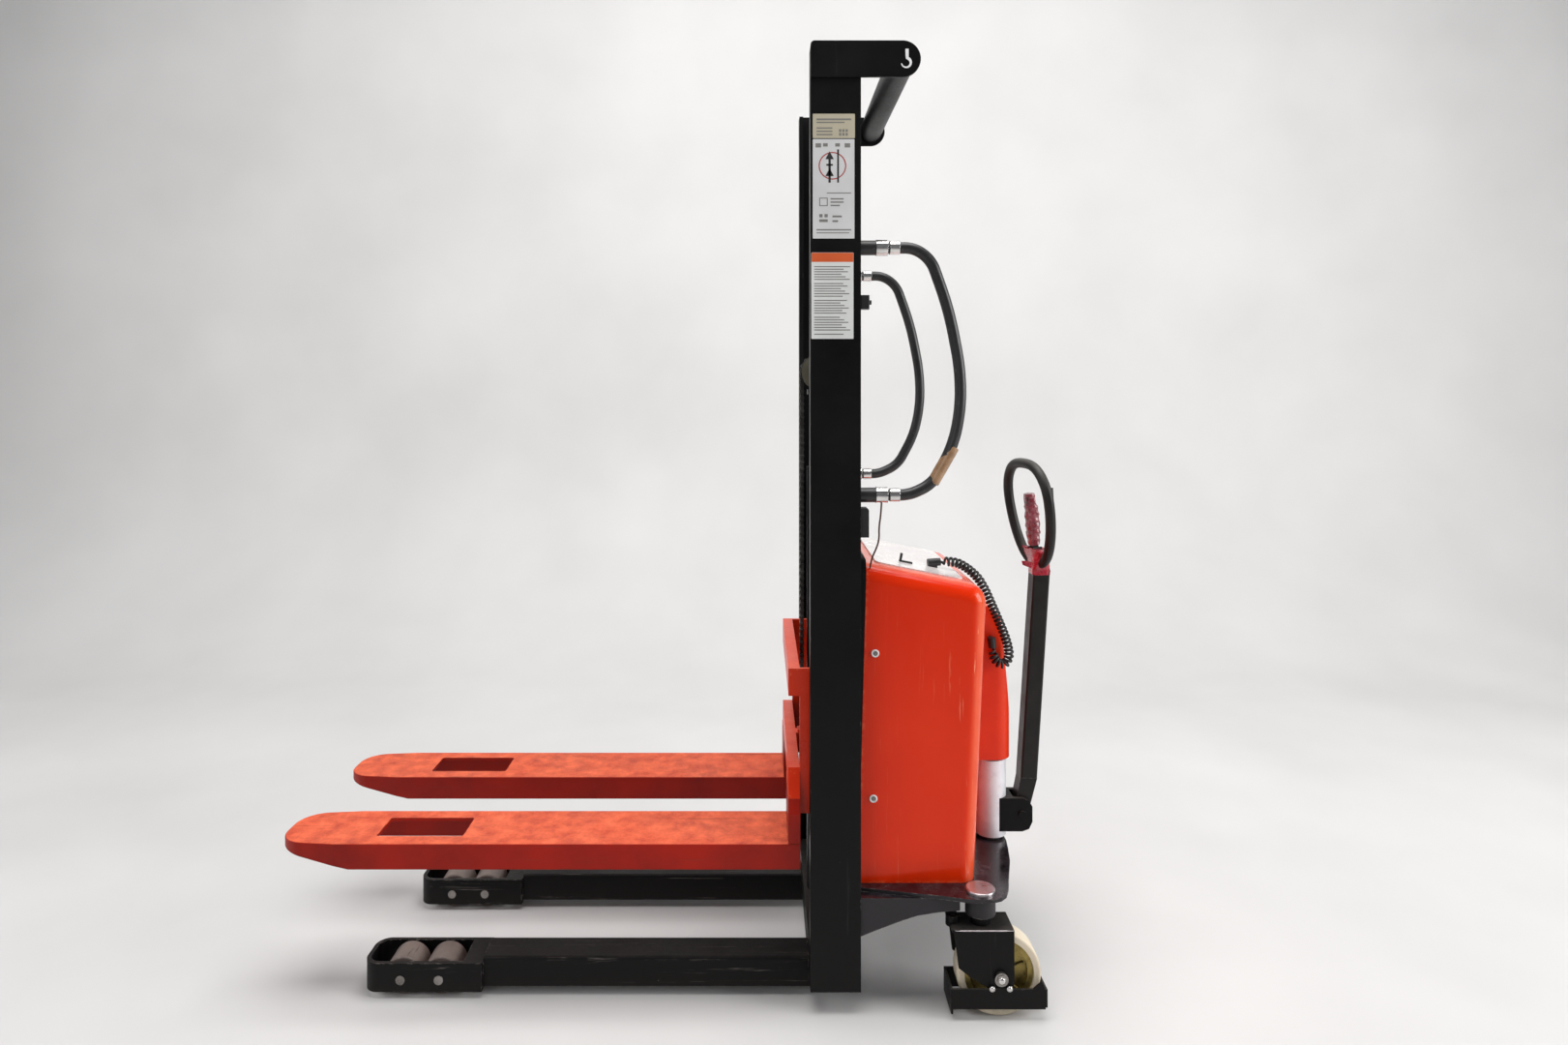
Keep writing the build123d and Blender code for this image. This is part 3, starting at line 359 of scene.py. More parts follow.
USE = {
    "orange_paint": ["carriage_frame", "column_cover"],
    "orange_worn": ["fork_left", "fork_right"],
    "orange_gloss": ["main_cover"],
    "black_paint": ["mast_channel_left", "mast_channel_right", "mast_head_frame", "mast_crossmembers", "caster_yoke_left",
                    "caster_yoke_right", "steering_link", "tiller_clevis", "lift_cylinder_barrel", "inner_frame", "piston_crosshead",
                    "cover_back_plate"],
    "leg_paint": ["leg_left", "leg_right"],
    "base_gloss": ["base_plate"],
    "chrome": ["piston_rod", "handle_ferrules"],
    "column_silver": ["steering_column"],
    "zinc_cap": ["caster_pivot_caps", "cover_screws"],
    "bare_steel": ["load_roller_axles", "ignition_key", "guide_roller_lower_left", "guide_roller_lower_right", "guide_roller_upper_left",
                   "guide_roller_upper_right"],
    "chain_steel": ["chain_rear_run", "chain_front_run", "chain_over_sheave"],
    "cast_sheave": ["chain_sheave", "pump_motor"],
    "tread_cream": ["caster_tread_left", "caster_tread_right"],
    "hub_yellow_zinc": ["caster_hub_left", "caster_hub_right"],
    "roller_nylon": ["load_roller_front_left", "load_roller_front_right", "load_roller_rear_left", "load_roller_rear_right"],
    "black_plastic": ["limit_switch", "junction_box", "lead_plugs", "switch_plate", "motor_controller"],
    "battery_case": ["batteries", "hydraulic_tank"],
    "pale_panel": ["control_panel"],
    "red_button": ["stop_button"],
    "cable_black": ["coiled_lead"],
    "wire_brown": ["ferrule_wire"],
    "grip_black": ["tiller_bar", "loop_handle", "hand_lever"],
    "handle_sleeve": ["grab_handle_left", "grab_handle_right"],
}
for slot_name, names in USE.items():
    for n in names:
        o = nodes[n]
        if not o.data.materials:
            o.data.materials.append(MT[slot_name])
        for i in range(len(o.material_slots)):
            o.material_slots[i].material = MT[slot_name]


# ------------------------------------------------------------------ mesh helpers
def obj_from(name, verts, faces, mat, body, smooth=30.0, uvless=True):
    me = bpy.data.meshes.new(name)
    me.from_pydata([tuple(v) for v in verts], [], faces)
    me.validate()
    bm = bmesh.new()
    bm.from_mesh(me)
    bmesh.ops.recalc_face_normals(bm, faces=bm.faces)
    lim = radians(smooth)
    for f in bm.faces:
        f.smooth = True
    for e in bm.edges:
        e.smooth = len(e.link_faces) == 2 and e.calc_face_angle(0.0) < lim
    bm.to_mesh(me)
    bm.free()
    o = bpy.data.objects.new(name, me)
    bpy.context.scene.collection.objects.link(o)
    me.materials.append(MT[mat] if isinstance(mat, str) else mat)
    if body:
        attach(o, body)
    return o


def frames(pts, closed=False):
    n = len(pts)
    tang = []
    for i in range(n):
        a = pts[(i - 1) % n] if (closed or i > 0) else pts[i]
        b = pts[(i + 1) % n] if (closed or i < n - 1) else pts[i]
        tang.append((b - a).normalized())
    ref = Vector((0, 0, 1)) if abs(tang[0].z) < 0.9 else Vector((1, 0, 0))
    u = tang[0].cross(ref).normalized()
    out = [(tang[0], u)]
    for i in range(1, n):
        v = out[-1][1]
        v = (v - tang[i] * v.dot(tang[i])).normalized()
        out.append((tang[i], v))
    return out


def tube_data(pts, r, seg=12, closed=False, radii=None):
    fr = frames(pts, closed)
    verts, faces = [], []
    for i, (p, (t, u)) in enumerate(zip(pts, fr)):
        w = t.cross(u)
        rr = radii[i] if radii else r
        for k in range(seg):
            a = 2 * pi * k / seg
            verts.append(p + (u * cos(a) + w * sin(a)) * rr)
    n = len(pts)
    for i in range(n if closed else n - 1):
        j = (i + 1) % n
        for k in range(seg):
            m = (k + 1) % seg
            faces.append((i * seg + k, i * seg + m, j * seg + m, j * seg + k))
    if not closed:
        faces.append(tuple(reversed(range(seg))))
        faces.append(tuple((n - 1) * seg + k for k in range(seg)))
    return verts, faces


class Build:
    """Collects solids into one mesh."""

    def __init__(self):
        self.v, self.f = [], []

    def add(self, verts, faces):
        o = len(self.v)
        self.v += list(verts)
        self.f += [tuple(i + o for i in f) for f in faces]

    def tube(self, pts, r, seg=12, closed=False, radii=None):
        self.add(*tube_data(pts, r, seg, closed, radii))

    def rod(self, a, b, r, seg=24, ch=0.0):
        """Round bar from a to b with small chamfers."""
        a, b = Vector(a), Vector(b)
        d = (b - a).normalized()
        if ch:
            pts = [a, a + d * ch, b - d * ch, b]
            self.tube(pts, r, seg, False, [r - ch, r, r, r - ch])
        else:
            self.tube([a, b], r, seg)

    def prism(self, outline, axis, t):
        """Closed outline of points, extruded by t along axis."""
        n = len(outline)
        d = Vector(axis) * t
        vs = [Vector(p) for p in outline] + [Vector(p) + d for p in outline]
        fs = [tuple(reversed(range(n))), tuple(range(n, 2 * n))]
        for i in range(n):
            j = (i + 1) % n
            fs.append((i, j, j + n, i + n))
        self.add(vs, fs)

    def chamfered_prism(self, outline_fn, axis, t, ch):
        """outline_fn(inset) gives the outline, extruded with both rims chamfered."""
        rings = [(outline_fn(ch), 0.0), (outline_fn(0.0), ch), (outline_fn(0.0), t - ch), (outline_fn(ch), t)]
        n = len(rings[0][0])
        vs, fs = [], []
        for o, h in rings:
            vs += [Vector(p) + Vector(axis) * h for p in o]
        for k in range(3):
            for i in range(n):
                j = (i + 1) % n
                fs.append((k * n + i, k * n + j, (k + 1) * n + j, (k + 1) * n + i))
        fs.append(tuple(reversed(range(n))))
        fs.append(tuple(range(3 * n, 4 * n)))
        self.add(vs, fs)

    def hexnut(self, c, axis, across, t, ch=0.0008):
        c, axis = Vector(c), Vector(axis).normalized()
        ref = Vector((0, 0, 1)) if abs(axis.z) < 0.9 else Vector((1, 0, 0))
        u = axis.cross(ref).normalized()
        w = axis.cross(u)

        def ring(ins):
            r = across / sqrt(3) - ins
            return [c + (u * cos(pi / 3 * i + 0.2) + w * sin(pi / 3 * i + 0.2)) * r for i in range(6)]
        self.chamfered_prism(ring, axis, t, ch)

    def dome(self, c, axis, r, h, seg=24, rings=6):
        c, axis = Vector(c), Vector(axis).normalized()
        pts = [c + axis * (h * sin(pi / 2 * i / rings)) for i in range(rings + 1)]
        rad = [max(r * cos(pi / 2 * i / rings), r * 0.02) for i in range(rings + 1)]
        self.tube([c - axis * 0.0002] + pts, r, seg, False, [r] + rad)

    def make(self, name, mat, body, slot=None, smooth=30.0):
        return obj_from(name, self.v, self.f, mat, body, smooth)


def rounded_rect(x0, x1, z0, z1, r, y, seg=5):
    pts = []
    for cx_, cz_, a0 in ((x1 - r, z1 - r, 0), (x0 + r, z1 - r, 90), (x0 + r, z0 + r, 180), (x1 - r, z0 + r, 270)):
        for i in range(seg + 1):
            a = radians(a0 + 90.0 * i / seg)
            pts.append(P(cx_ + r * cos(a), y, cz_ + r * sin(a)))
    return pts


# ------------------------------------------------------------------ leaf chain
def leaf_chain(name, pins, body_or_none, parity=0):
    """Laced leaf chain on a list of pin centres, 22 mm wide."""
    b = Build()
    h, t = 5.4, 2.25
    slots = [-9.8 + 2.8 * i for i in range(8)]
    for k in range(len(pins) - 1):
        (x0, z0), (x1, z1) = pins[k], pins[k + 1]
        d = hypot(x1 - x0, z1 - z0)
        ux, uz = (x1 - x0) / d, (z1 - z0) / d
        nx, nz = -uz, ux
        prof = []
        n = 6
        for i in range(n + 1):
            a = -pi / 2 + pi * i / n
            prof.append((d + h * 0.98 * cos(a), h * sin(a)))
        prof += [(d * 0.62, h * 0.74), (d * 0.38, h * 0.74)]
        for i in range(n + 1):
            a = pi / 2 + pi * i / n
            prof.append((h * 0.98 * cos(a), h * sin(a)))
        prof += [(d * 0.38, -h * 0.74), (d * 0.62, -h * 0.74)]
        use = [0, 3, 4, 7] if (k + parity) % 2 == 0 else [1, 2, 5, 6]
        for s in use:
            y = slots[s] - t / 2
            b.prism([P(x0 + ux * a + nx * c, y, z0 + uz * a + nz * c) for a, c in prof], (0, 1, 0), t / 1000.0)
    for x, z in pins:
        b.rod(P(x, -11.8, z), P(x, 11.8, z), 0.0026, 12, 0.0006)
    return b


SH_X, SH_Z, SH_R = 148.0, 1379.0, 40.0
wrap = [(SH_X - SH_R * cos(pi * i / 8), SH_Z + SH_R * sin(pi * i / 8)) for i in range(9)]
front = [(SH_X - SH_R, 520.0 + (SH_Z - 520.0) * i / 55.0) for i in range(56)]
rear = [(SH_X + SH_R, 1100.0 + (SH_Z - 1100.0) * i / 18.0) for i in range(19)]
c1 = leaf_chain("front", front, None).make("chain_front_links", "chain_steel", None, "chain_steel")
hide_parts("chain_front_run")
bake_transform(c1)
c2 = leaf_chain("rear", rear, None).make("chain_rear_links", "chain_steel", None, "chain_steel")
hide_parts("chain_rear_run")
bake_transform(c2)
c3 = leaf_chain("wrap", wrap, None, 1).make("chain_wrap_links", "chain_steel", "piston", "chain_steel")
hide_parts("chain_over_sheave")

# ------------------------------------------------------------------ curly lead
CORD = [(427, -96, 934.6), (459, -94, 936.5), (493.5, -85, 918), (523.5, -78, 890), (545.4, -73, 847), (565, -67, 802.6),
        (582.4, -62, 764.8), (594.9, -58, 729.3), (598.8, -57, 703.5), (588.5, -57, 684), (570, -58, 687), (559.5, -59, 705), (558, -58, 724)]
WIRE = [(268, -272, 1092.6), (266, -276, 1066), (261.5, -279, 1041), (262.5, -276, 1013), (256, -263, 988), (250, -243, 968), (248, -226, 943.5)]


def nurbs(name, pts, bevel=0.0, res=12):
    cu = bpy.data.curves.new(name, "CURVE")
    cu.dimensions = "3D"
    sp = cu.splines.new("NURBS")
    sp.points.add(len(pts) - 1)
    for q, p in zip(sp.points, pts):
        v = P(*p)
        q.co = (v.x, v.y, v.z, 1.0)
    sp.order_u = 3
    sp.use_endpoint_u = True
    cu.resolution_u = res
    cu.bevel_depth = bevel
    cu.bevel_resolution = 4
    cu.use_fill_caps = True
    o = bpy.data.objects.new(name, cu)
    bpy.context.scene.collection.objects.link(o)
    return o


def polyline_of(o):
    bpy.context.view_layer.update()
    me = bpy.data.meshes.new_from_object(o.evaluated_get(bpy.context.evaluated_depsgraph_get()))
    pts = [v.co.copy() for v in me.vertices]
    bpy.data.meshes.remove(me)
    return pts


guide = nurbs("lead_guide", CORD, 0.0, 40)
line = polyline_of(guide)
bpy.data.objects.remove(guide)
acc = [0.0]
for a, b in zip(line, line[1:]):
    acc.append(acc[-1] + (b - a).length)
total = acc[-1]


def at(s):
    s = min(max(s, 0.0), total)
    lo, hi = 0, len(acc) - 1
    while hi - lo > 1:
        m = (lo + hi) // 2
        if acc[m] <= s:
            lo = m
        else:
            hi = m
    f = (s - acc[lo]) / max(acc[hi] - acc[lo], 1e-9)
    return line[lo].lerp(line[hi], f)


STEPS = 900
axis_pts = [at(total * i / STEPS) for i in range(STEPS + 1)]
axis_fr = frames(axis_pts)
hook_at = total * 0.72
phase, cum = 0.0, [0.0]
ds = total / STEPS
for i in range(STEPS):
    s = ds * (i + 0.5)
    k = min(max((s - hook_at * 0.9) / (hook_at * 0.2), 0.0), 1.0)
    k = k * k * (3 - 2 * k)
    pitch = 0.0100 * (1 - k) + 0.0092 * k
    lead_in = min(1.0, min(s, total - s) / 0.016)
    pitch *= 1.0 + 4.0 * (1.0 - lead_in) ** 1.5
    phase += 2 * pi * ds / pitch
    cum.append(phase)
turns = phase / (2 * pi)
LEAD_D = 0.0062
coil = []
N = int(turns * 18)
for i in range(N + 1):
    target = phase * i / N
    lo, hi = 0, STEPS
    while hi - lo > 1:
        m = (lo + hi) // 2
        if cum[m] <= target:
            lo = m
        else:
            hi = m
    f = (target - cum[lo]) / max(cum[hi] - cum[lo], 1e-9)
    p = axis_pts[lo].lerp(axis_pts[hi], f)
    t, u = axis_fr[lo]
    t2, u2 = axis_fr[hi]
    t = t.lerp(t2, f).normalized()
    u = u.lerp(u2, f).normalized()
    w = t.cross(u)
    along = ds * (lo + f)
    e = min(1.0, min(along, total - along) / 0.016)
    r = 0.0086 * (0.12 + 0.88 * e * e * (3 - 2 * e))
    coil.append(p + (u * cos(target) + w * sin(target)) * r)
lv, lf = tube_data(coil, LEAD_D / 2, 8)
lead = obj_from("curly_lead", lv, lf, "cable_black", None, 60)
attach(lead, "chassis")
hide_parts("coiled_lead")

wire = nurbs("ferrule_wire_thin", WIRE, 0.002, 16)
wire.data.materials.append(MT["wire_brown"])
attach(wire, "chassis")
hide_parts("ferrule_wire")


# ------------------------------------------------------------------ labels on the near mast web and the head bracket
YW = -297.0


def plate_on(y, name, mat, x0, x1, z0, z1, r=1.5, t=0.35, body="chassis", slot=None):
    b = Build()
    b.prism(rounded_rect(x0, x1, z0, z1, r, y), (0, -1, 0), t / 1000.0)
    return b.make(name, mat, body, slot)


def bars(y, name, mat, rects, body="chassis", t=0.12, slot=None):
    b = Build()
    for x0, x1, z0, z1 in rects:
        b.prism([P(x0, y, z0), P(x1, y, z0), P(x1, y, z1), P(x0, y, z1)], (0, -1, 0), t / 1000.0)
    return b.make(name, mat, body, slot)


plate_on(YW, "label_upper", "label_beige", 118, 208, 1873, 1925)
rows = [(126, 200, 1911, 1915), (126, 186, 1905, 1908)]
rows += [(126, 160, 1893 - 7 * i, 1896 - 7 * i) for i in range(3)]
rows += [(174 + 7 * i, 179 + 7 * i, 1878 + 8 * j, 1884 + 8 * j) for i in range(3) for j in range(2)]
bars(YW - 0.36, "label_upper_print", "ink_grey", rows)

plate_on(YW, "label_lift", "label_grey", 118, 207, 1659, 1871)
bars(YW - 0.36, "label_lift_rows", "ink_grey",
     [(124, 136, 1853, 1862), (140, 150, 1855, 1862), (166, 176, 1855, 1862), (186, 198, 1853, 1862), (148, 200, 1755, 1757)]
     + [(132, 150, 1744, 1746), (132, 150, 1728, 1730), (132, 134, 1730, 1744), (148, 150, 1730, 1744), (156, 184, 1742, 1745), (156, 184, 1735, 1738), (156, 176, 1728, 1731),
        (132, 139, 1704, 1711), (143, 150, 1704, 1711), (132, 150, 1694, 1700), (160, 180, 1704, 1708), (160, 172, 1694, 1698), (126, 200, 1676, 1679), (126, 196, 1670, 1672)])
ink = Build()
for zc, up in ((1836, 1), (1800, 1)):
    ink.prism([P(145, YW - 0.36, zc - 8), P(163, YW - 0.36, zc - 8), P(154, YW - 0.36, zc + 9)], (0, -1, 0), 0.00012)
for x0, x1, z0, z1 in ((151.5, 156.5, 1778, 1829), (170, 174, 1778, 1849), (147, 161, 1814, 1818)):
    ink.prism([P(x0, YW - 0.36, z0), P(x1, YW - 0.36, z0), P(x1, YW - 0.36, z1), P(x0, YW - 0.36, z1)], (0, -1, 0), 0.00012)
ink.make("label_lift_arrows", "ink_black", "chassis")
ring = Build()
n = 48
for i in range(n):
    a0, a1 = 2 * pi * i / n, 2 * pi * (i + 1) / n
    ring.prism([P(160 + 27 * cos(a0), YW - 0.36, 1814 + 27 * sin(a0)), P(160 + 27 * cos(a1), YW - 0.36, 1814 + 27 * sin(a1)),
                P(160 + 29.5 * cos(a1), YW - 0.36, 1814 + 29.5 * sin(a1)), P(160 + 29.5 * cos(a0), YW - 0.36, 1814 + 29.5 * sin(a0))],
               (0, -1, 0), 0.0001)
ring.make("label_lift_ring", "ink_red", "chassis")

plate_on(YW, "label_safety", "label_white", 115, 205, 1445, 1629)
bars(YW - 0.36, "label_safety_header", "ink_orange", [(115.5, 204.5, 1609, 1628.5)])
rows, z = [], 1600.0
k = 0
while z > 1452:
    rows.append((121, 198 - (k * 37) % 23, z - 2.2, z))
    z -= 5.4 if k % 6 != 5 else 9.0
    k += 1
bars(YW - 0.36, "label_safety_print", "ink_grey", rows)

# hook sign on both head brackets
for side, body_y in ((-1, -302.0), (1, 302.0)):
    pts = [P(317, body_y + side * 0.3, 2060), P(317.5, body_y + side * 0.3, 2050)]
    pts = [P(318.5, body_y, 2062), P(318.5, body_y, 2050)]
    for i in range(0, 15):
        a = radians(75 - 17.5 * i)
        pts.append(P(316.5 + 10.0 * cos(a), body_y, 2032.5 + 10.0 * sin(a)))
    b = Build()
    w = [0.0070, 0.0068] + [0.0066 - 0.00032 * i for i in range(15)]
    left, right = [], []
    for i, p in enumerate(pts):
        a = pts[max(i - 1, 0)]
        c = pts[min(i + 1, len(pts) - 1)]
        d = (c - a).normalized()
        nrm = Vector((-d.z, 0, d.x))
        left.append(p + nrm * w[i] * 0.5)
        right.append(p - nrm * w[i] * 0.5)
    for i in range(len(pts) - 1):
        b.prism([left[i], left[i + 1], right[i + 1], right[i]], (0, side, 0), 0.0003)
    b.make("hook_sign_%s" % ("near" if side < 0 else "far"), "ink_white", "chassis")

# ------------------------------------------------------------------ tape on the near grab handle, the lever and the neck
tp = []
for i in range(25):
    f = i / 24.0
    tp.append(P(424 - 45 * f, -268, 1213 - 78 * f))
tb = Build()
rad = [0.01335 + 0.0005 * noise.noise(Vector((i * 0.9, 3.1, 0.0))) for i in range(25)]
rad[0] = rad[-1] = 0.0126
tb.tube(tp, 0.0134, 32, False, rad)
tb.make("handle_tape", "tape_brown", "chassis", None, 60)

YAW, LEANA = radians(10), -radians(8.11)
LOOP = Matrix.Translation(P(681, 0, 900)) @ Matrix.Rotation(YAW, 4, "Z") @ Matrix.Rotation(LEANA, 4, "Y")


def L(x, y, z):
    return LOOP @ Vector((x / 1000.0, y / 1000.0, z / 1000.0))


def wrap_sleeve(name, rings, mat, body, amp=0.0009, seg=36):
    """rings: (z, half x, half y, x offset) in the loop's frame, mm. Crumpled film round a bar."""
    verts, faces = [], []
    n = len(rings)
    for i, (z, hx, hy, ox) in enumerate(rings):
        for k in range(seg):
            a = 2 * pi * k / seg
            ex = 0.7
            cx_ = abs(cos(a)) ** ex * (1 if cos(a) >= 0 else -1)
            sy_ = abs(sin(a)) ** ex * (1 if sin(a) >= 0 else -1)
            p = L(ox + hx * cx_, hy * sy_, z)
            d = noise.noise(p * 95.0) * 1.2 + 0.6 * noise.noise(p * 240.0)
            q = L(ox + (hx + 900 * amp * d) * cx_, (hy + 900 * amp * d) * sy_, z + 1.5 * noise.noise(p * 60.0))
            verts.append(q)
    for i in range(n - 1):
        for k in range(seg):
            m = (k + 1) % seg
            faces.append((i * seg + k, i * seg + m, (i + 1) * seg + m, (i + 1) * seg + k))
    faces.append(tuple(reversed(range(seg))))
    faces.append(tuple((n - 1) * seg + k for k in range(seg)))
    return obj_from(name, verts, faces, mat, body, 50)


film = []
for i in range(41):
    f = i / 40.0
    film.append((61 + 125.0 * f, 12.0 + 3.6 * sin(pi * min(1.0, f * 1.15)) + 1.0 * sin(i * 0.9), 13.0 + 3.4 * sin(pi * min(1.0, f * 1.15)) + 1.2 * cos(i * 1.3), -0.5 + 5.0 * sin(1.57 * min(1.0, 1.4 * f))))
wrap_sleeve("lever_film", film, "tape_pink", "lever", 0.0016, 48)


def tiller_x(z):
    return 654.5 + (z - 401) * tan(radians(3.6))


verts, faces = [], []
SEG, NR = 64, 30
for i in range(NR + 1):
    f = i / NR
    z = 890.0 + 60.0 * f
    up = max(0.0, (z - 904.0) / 46.0)
    hx = 20.0 + 1.4 - 3.0 * up
    hy = 25.0 + 1.4 + 34.0 * up ** 1.25
    for k in range(SEG):
        a = 2 * pi * k / SEG
        ex = 0.42 + 0.3 * up
        cx_ = abs(cos(a)) ** ex * (1 if cos(a) >= 0 else -1)
        sy_ = abs(sin(a)) ** ex * (1 if sin(a) >= 0 else -1)
        xc = tiller_x(min(z, 900)) - 0.14 * max(0.0, z - 900)
        q = P(xc + hx * cx_, hy * sy_, z)
        d = 0.5 + 1.3 * noise.noise(q * 80.0) + 0.7 * noise.noise(q * 210.0)
        yy = (hy + d) * sy_
        verts.append(P(xc + (hx + d) * cx_ - yy * 0.17 * up, yy, z + (1.2 + 5.0 * up) * noise.noise(q * 70.0)))
for i in range(NR):
    for k in range(SEG):
        m = (k + 1) % SEG
        faces.append((i * SEG + k, i * SEG + m, (i + 1) * SEG + m, (i + 1) * SEG + k))
faces.append(tuple(reversed(range(SEG))))
faces.append(tuple(NR * SEG + k for k in range(SEG)))
obj_from("neck_tape", verts, faces, "tape_red", "tiller", 50)
# loose end of the tape, sticking out forward at the neck
tail = Build()
rows_ = []
for i in range(9):
    f = i / 8.0
    rows_.append((P(660 - 24 * f, -24 - 3 * sin(3 * f), 921 + 4 * sin(2.2 * f)), P(660 - 22 * f, -25 - 2 * f, 906 + 9 * f)))
tv, tf = [], []
for a, b in rows_:
    tv += [a, b, a + Vector((0, -0.0005, 0)), b + Vector((0, -0.0005, 0))]
for i in range(8):
    o = i * 4
    for q in ((0, 1, 5, 4), (2, 6, 7, 3), (0, 4, 6, 2), (1, 3, 7, 5)):
        tf.append(tuple(o + x for x in q))
tf += [(0, 2, 3, 1), (32, 33, 35, 34)]
obj_from("neck_tape_end", tv, tf, "tape_red", "tiller", 50)

# ------------------------------------------------------------------ fasteners
for side, nm in ((-1, "left"), (1, "right")):
    b = Build()
    b.rod(P(516, side * 318.0, 90), P(516, side * 319.2, 90), 0.0145, 36, 0.0004)
    b.hexnut(P(516, side * 319.2, 90), (0, side, 0), 0.019, 0.0035)
    dm = Build()
    dm.dome(P(516, side * 322.4, 90), (0, side, 0), 0.0074, 0.0040, 28, 7)
    dm.make("caster_nut_cap_%s" % nm, "chrome", "yoke_%s" % nm, "chrome")
    b.make("caster_nut_%s" % nm, "bare_steel", "yoke_%s" % nm, "bare_steel")
    g = Build()
    for xx in (497, 534):
        g.rod(P(xx, side * 315.0, 69), P(xx, side * 315.8, 69), 0.0062, 24, 0.0003)
        g.dome(P(xx, side * 315.8, 69), (0, side, 0), 0.0048, 0.0026, 20, 5)
    g.make("guard_rivets_%s" % nm, "chrome", "yoke_%s" % nm, "chrome")

# rubbed front edge of each yoke's top plate: a thin bright zinc strip, partly bare worn steel and partly painted
# highlight where the edge catches the light
for side, nm in ((-1, "left"), (1, "right")):
    b = Build()
    pts = [P(419 + 125.0 * i / 20, side * (310.2 + 0.25 * noise.noise(Vector((i * 0.7, side, 0.3)))), 189.2) for i in range(21)]
    b.tube(pts, 0.0012, 10, False, [0.0005 + 0.0008 * min(1.0, min(i, 20 - i) / 3.0) + 0.0003 * noise.noise(Vector((i * 1.3, 4.0, side))) for i in range(21)])
    b.make("yoke_rubbed_edge_%s" % nm, "zinc_cap", "yoke_%s" % nm, "zinc_cap")

# cup washers and recessed screws of the cover
rim = Build()
heads = Build()
for s in (-1, 1):
    for sx, sz in ((258, 759), (254, 441)):
        y = s * 240.0
        loop = [P(sx + 6.9 * cos(2 * pi * i / 40), y + s * 0.9, sz + 6.9 * sin(2 * pi * i / 40)) for i in range(40)]
        rim.tube(loop, 0.0019, 12, True)
        heads.dome(P(sx, y + s * 0.2, sz), (0, s, 0), 0.0052, 0.0021, 28, 5)
        for a in (0.5, 0.5 + pi / 2):
            d = Vector((cos(a), 0, sin(a))) * 0.0034
            c = P(sx, y + s * 2.15, sz)
            heads.tube([c - d, c + d], 0.00055, 8)
w1 = rim.make("cover_cup_washers", "ink_white", "chassis", "zinc_cap", 60)
w2 = heads.make("cover_screw_heads", "bare_steel", "chassis", "bare_steel", 60)
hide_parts("cover_screws")

# hub detail: four ribs pressed into each wheel's web
for side, nm in ((-1, "left"), (1, "right")):
    b = Build()
    for face in (-1, 1):
        yc = side * 272 + face * 12.0
        for i in range(6):
            a = 2 * pi * i / 6 + 0.3
            p0 = P(516 + 34 * cos(a), yc, 90 + 34 * sin(a))
            p1 = P(516 + 58 * cos(a), yc, 90 + 58 * sin(a))
            b.tube([p0, p0.lerp(p1, 0.5), p1], 0.0026, 12, False, [0.0008, 0.0026, 0.0030])
    b.make("hub_ribs_%s" % nm, "hub_yellow_zinc", "wheel_%s" % nm, "hub_yellow_zinc")

# cord catch on the top panel
PAN = Matrix.Translation(P(357.5, 0, 930.5)) @ Matrix.Rotation(radians(11.217), 4, "Y")
ct = Build()


def pan_box(x0, x1, y0, y1, z0, z1, c=0.0008):
    def ring(ins):
        i = ins * 1000
        return [PAN @ Vector((x / 1000.0, y / 1000.0, z0 / 1000.0)) for x, y in
                ((x0 + i, y0 + i), (x1 - i, y0 + i), (x1 - i, y1 - i), (x0 + i, y1 - i))]
    ct.chamfered_prism(ring, (PAN.to_3x3() @ Vector((0, 0, 1))), (z1 - z0) / 1000.0, c)


pan_box(-31.4, -0.6, -123.9, -116.1, 3.1, 7.4)
pan_box(-31.5, -26.5, -124.0, -116.0, 3.2, 23.6)
ct.make("cord_catch", "black_plastic", "chassis", "black_plastic")

# chain anchors
b = Build()
b.hexnut(P(108, 0, 508), (0, 0, 1), 0.017, 0.006)
b.rod(P(108, 0, 506), P(108, 0, 520), 0.005, 20, 0.0006)
b.make("chain_anchor_front", "bare_steel", "carriage", "bare_steel")
b = Build()
b.rod(P(188, 0, 1088), P(188, 0, 1100), 0.005, 20, 0.0006)
b.hexnut(P(188, 0, 1090), (0, 0, 1), 0.017, 0.006)
b.make("chain_anchor_rear", "bare_steel", "chassis", "bare_steel")

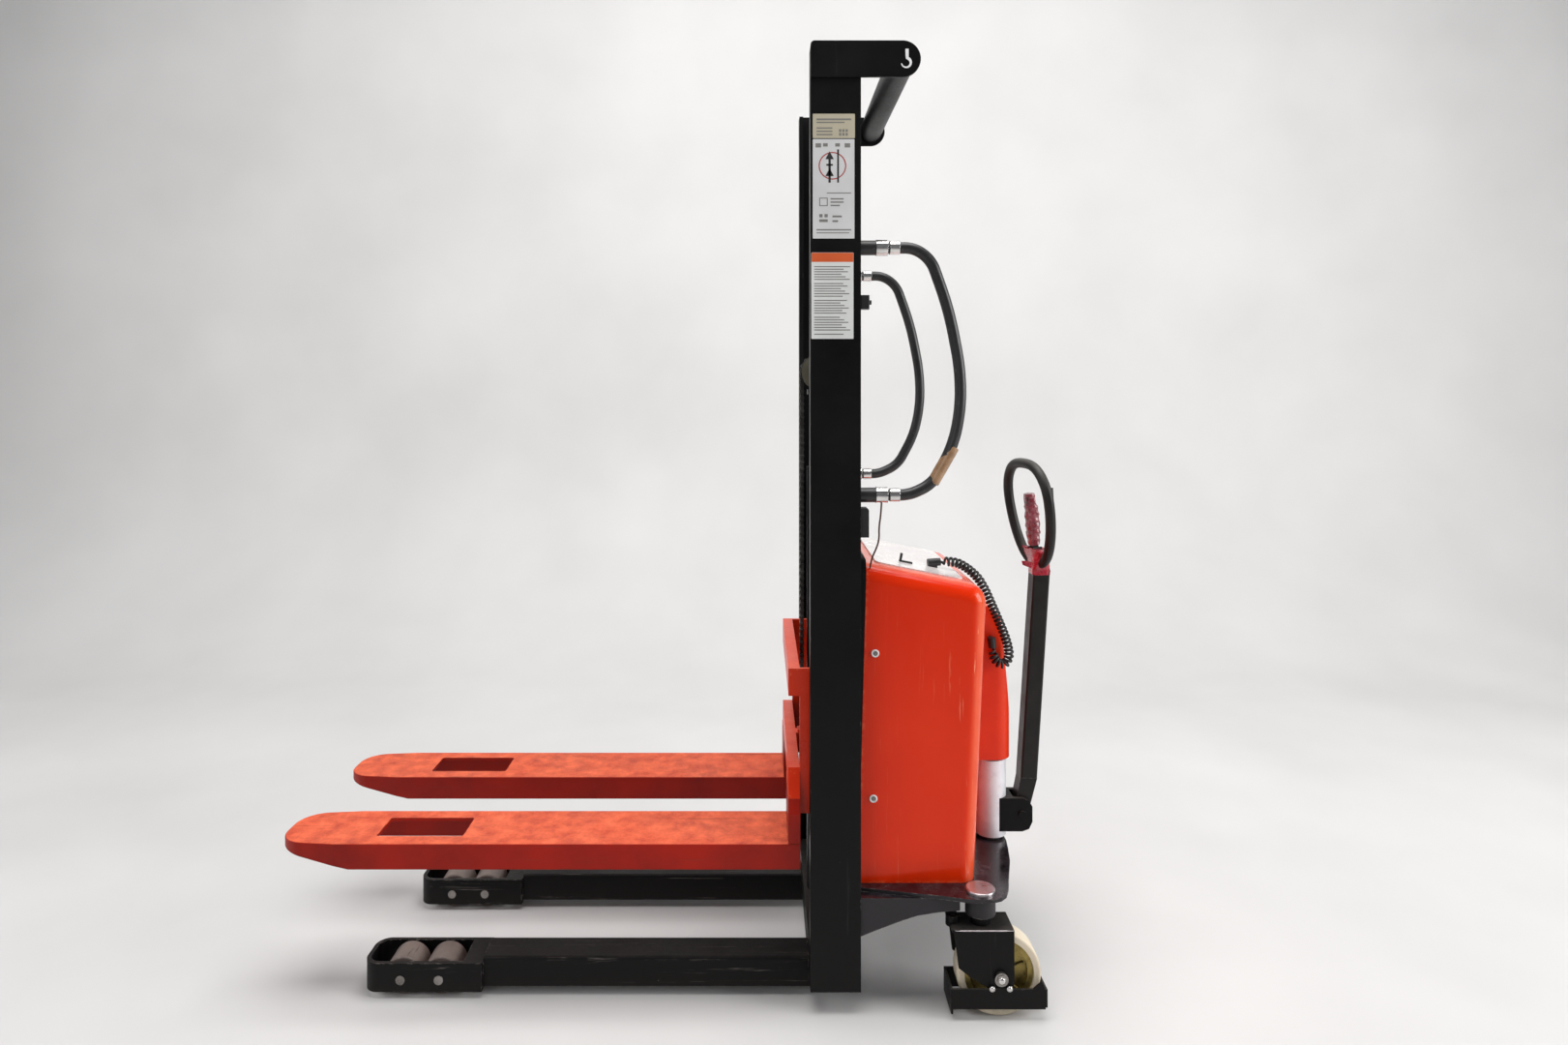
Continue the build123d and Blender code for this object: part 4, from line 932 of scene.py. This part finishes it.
# ------------------------------------------------------------------ stage, lights, camera
def stage_plane():
    k = Mat("stage_floor")
    col = k.mix(k.rng(k.noise(1.3, 3.0, 0.5), 0.3, 0.7), lin(205, 204, 203), lin(214, 213, 212))
    k.bump(k.noise(120.0, 2.0, 0.5), 0.03, 0.001)
    k.done(col, 0.62)
    # one sheet: floor, cove and wall
    verts, faces = [], []
    prof = [(-8.0, 0.0), (-2.0, 0.0), (1.6, 0.0)]
    for i in range(13):
        a = radians(90.0 * i / 12)
        prof.append((2.0 + 1.2 * sin(a), 1.2 - 1.2 * cos(a)))
    prof += [(3.2, 3.0), (3.2, 7.0)]
    for y, z in prof:
        verts += [Vector((-9, y, z)), Vector((9, y, z))]
    for i in range(len(prof) - 1):
        faces.append((2 * i, 2 * i + 1, 2 * i + 3, 2 * i + 2))
    me = bpy.data.meshes.new("stage_sweep")
    me.from_pydata([tuple(v) for v in verts], [], faces)
    for p in me.polygons:
        p.use_smooth = True
    o = bpy.data.objects.new("stage_sweep", me)
    bpy.context.scene.collection.objects.link(o)
    me.materials.append(k.m)


stage_plane()


def area(name, loc, target, size, power, color=(1, 1, 1)):
    d = bpy.data.lights.new(name, "AREA")
    d.shape = "RECTANGLE"
    d.size, d.size_y = size
    d.energy = power
    d.color = color
    o = bpy.data.objects.new(name, d)
    o.location = loc
    o.rotation_euler = (Vector(target) - Vector(loc)).to_track_quat("-Z", "Y").to_euler()
    bpy.context.scene.collection.objects.link(o)


area("soft_top", (0.2, -0.5, 4.6), (0.1, 0.1, 0.4), (3.6, 2.6), 165, (1.0, 0.995, 0.985))
area("soft_front", (-2.4, -4.4, 2.6), (0.2, 0, 0.9), (2.4, 2.4), 30, (1.0, 0.99, 0.98))
area("soft_left", (-4.6, -0.2, 2.0), (0.2, 0, 0.9), (2.2, 2.4), 50, (1.0, 1.0, 1.0))
area("soft_right", (5.3, -1.75, 2.3), (0.5, 0, 0.8), (2.6, 3.0), 205, (1.0, 1.0, 1.0))
area("wall_light", (0.6, 0.6, 5.0), (0.6, 3.2, 1.6), (7.0, 1.2), 58, (0.99, 0.995, 1.0))

w = bpy.data.worlds.new("studio")
bpy.context.scene.world = w
w.use_nodes = True
w.node_tree.nodes["Background"].inputs[0].default_value = (0.95, 0.96, 1.0, 1.0)
w.node_tree.nodes["Background"].inputs[1].default_value = 0.2
bpy.context.scene.view_settings.view_transform = "Standard"

cam = bpy.data.cameras.new("cam")
cam.sensor_width = 36.0
cam.lens = 22.74
cam.shift_x = 0.01696
cam.shift_y = -0.0851
co = bpy.data.objects.new("cam", cam)
co.location = (0.170555, -2.410, 1.338)
co.rotation_euler = (radians(90), 0, 0)
bpy.context.scene.collection.objects.link(co)
bpy.context.scene.camera = co
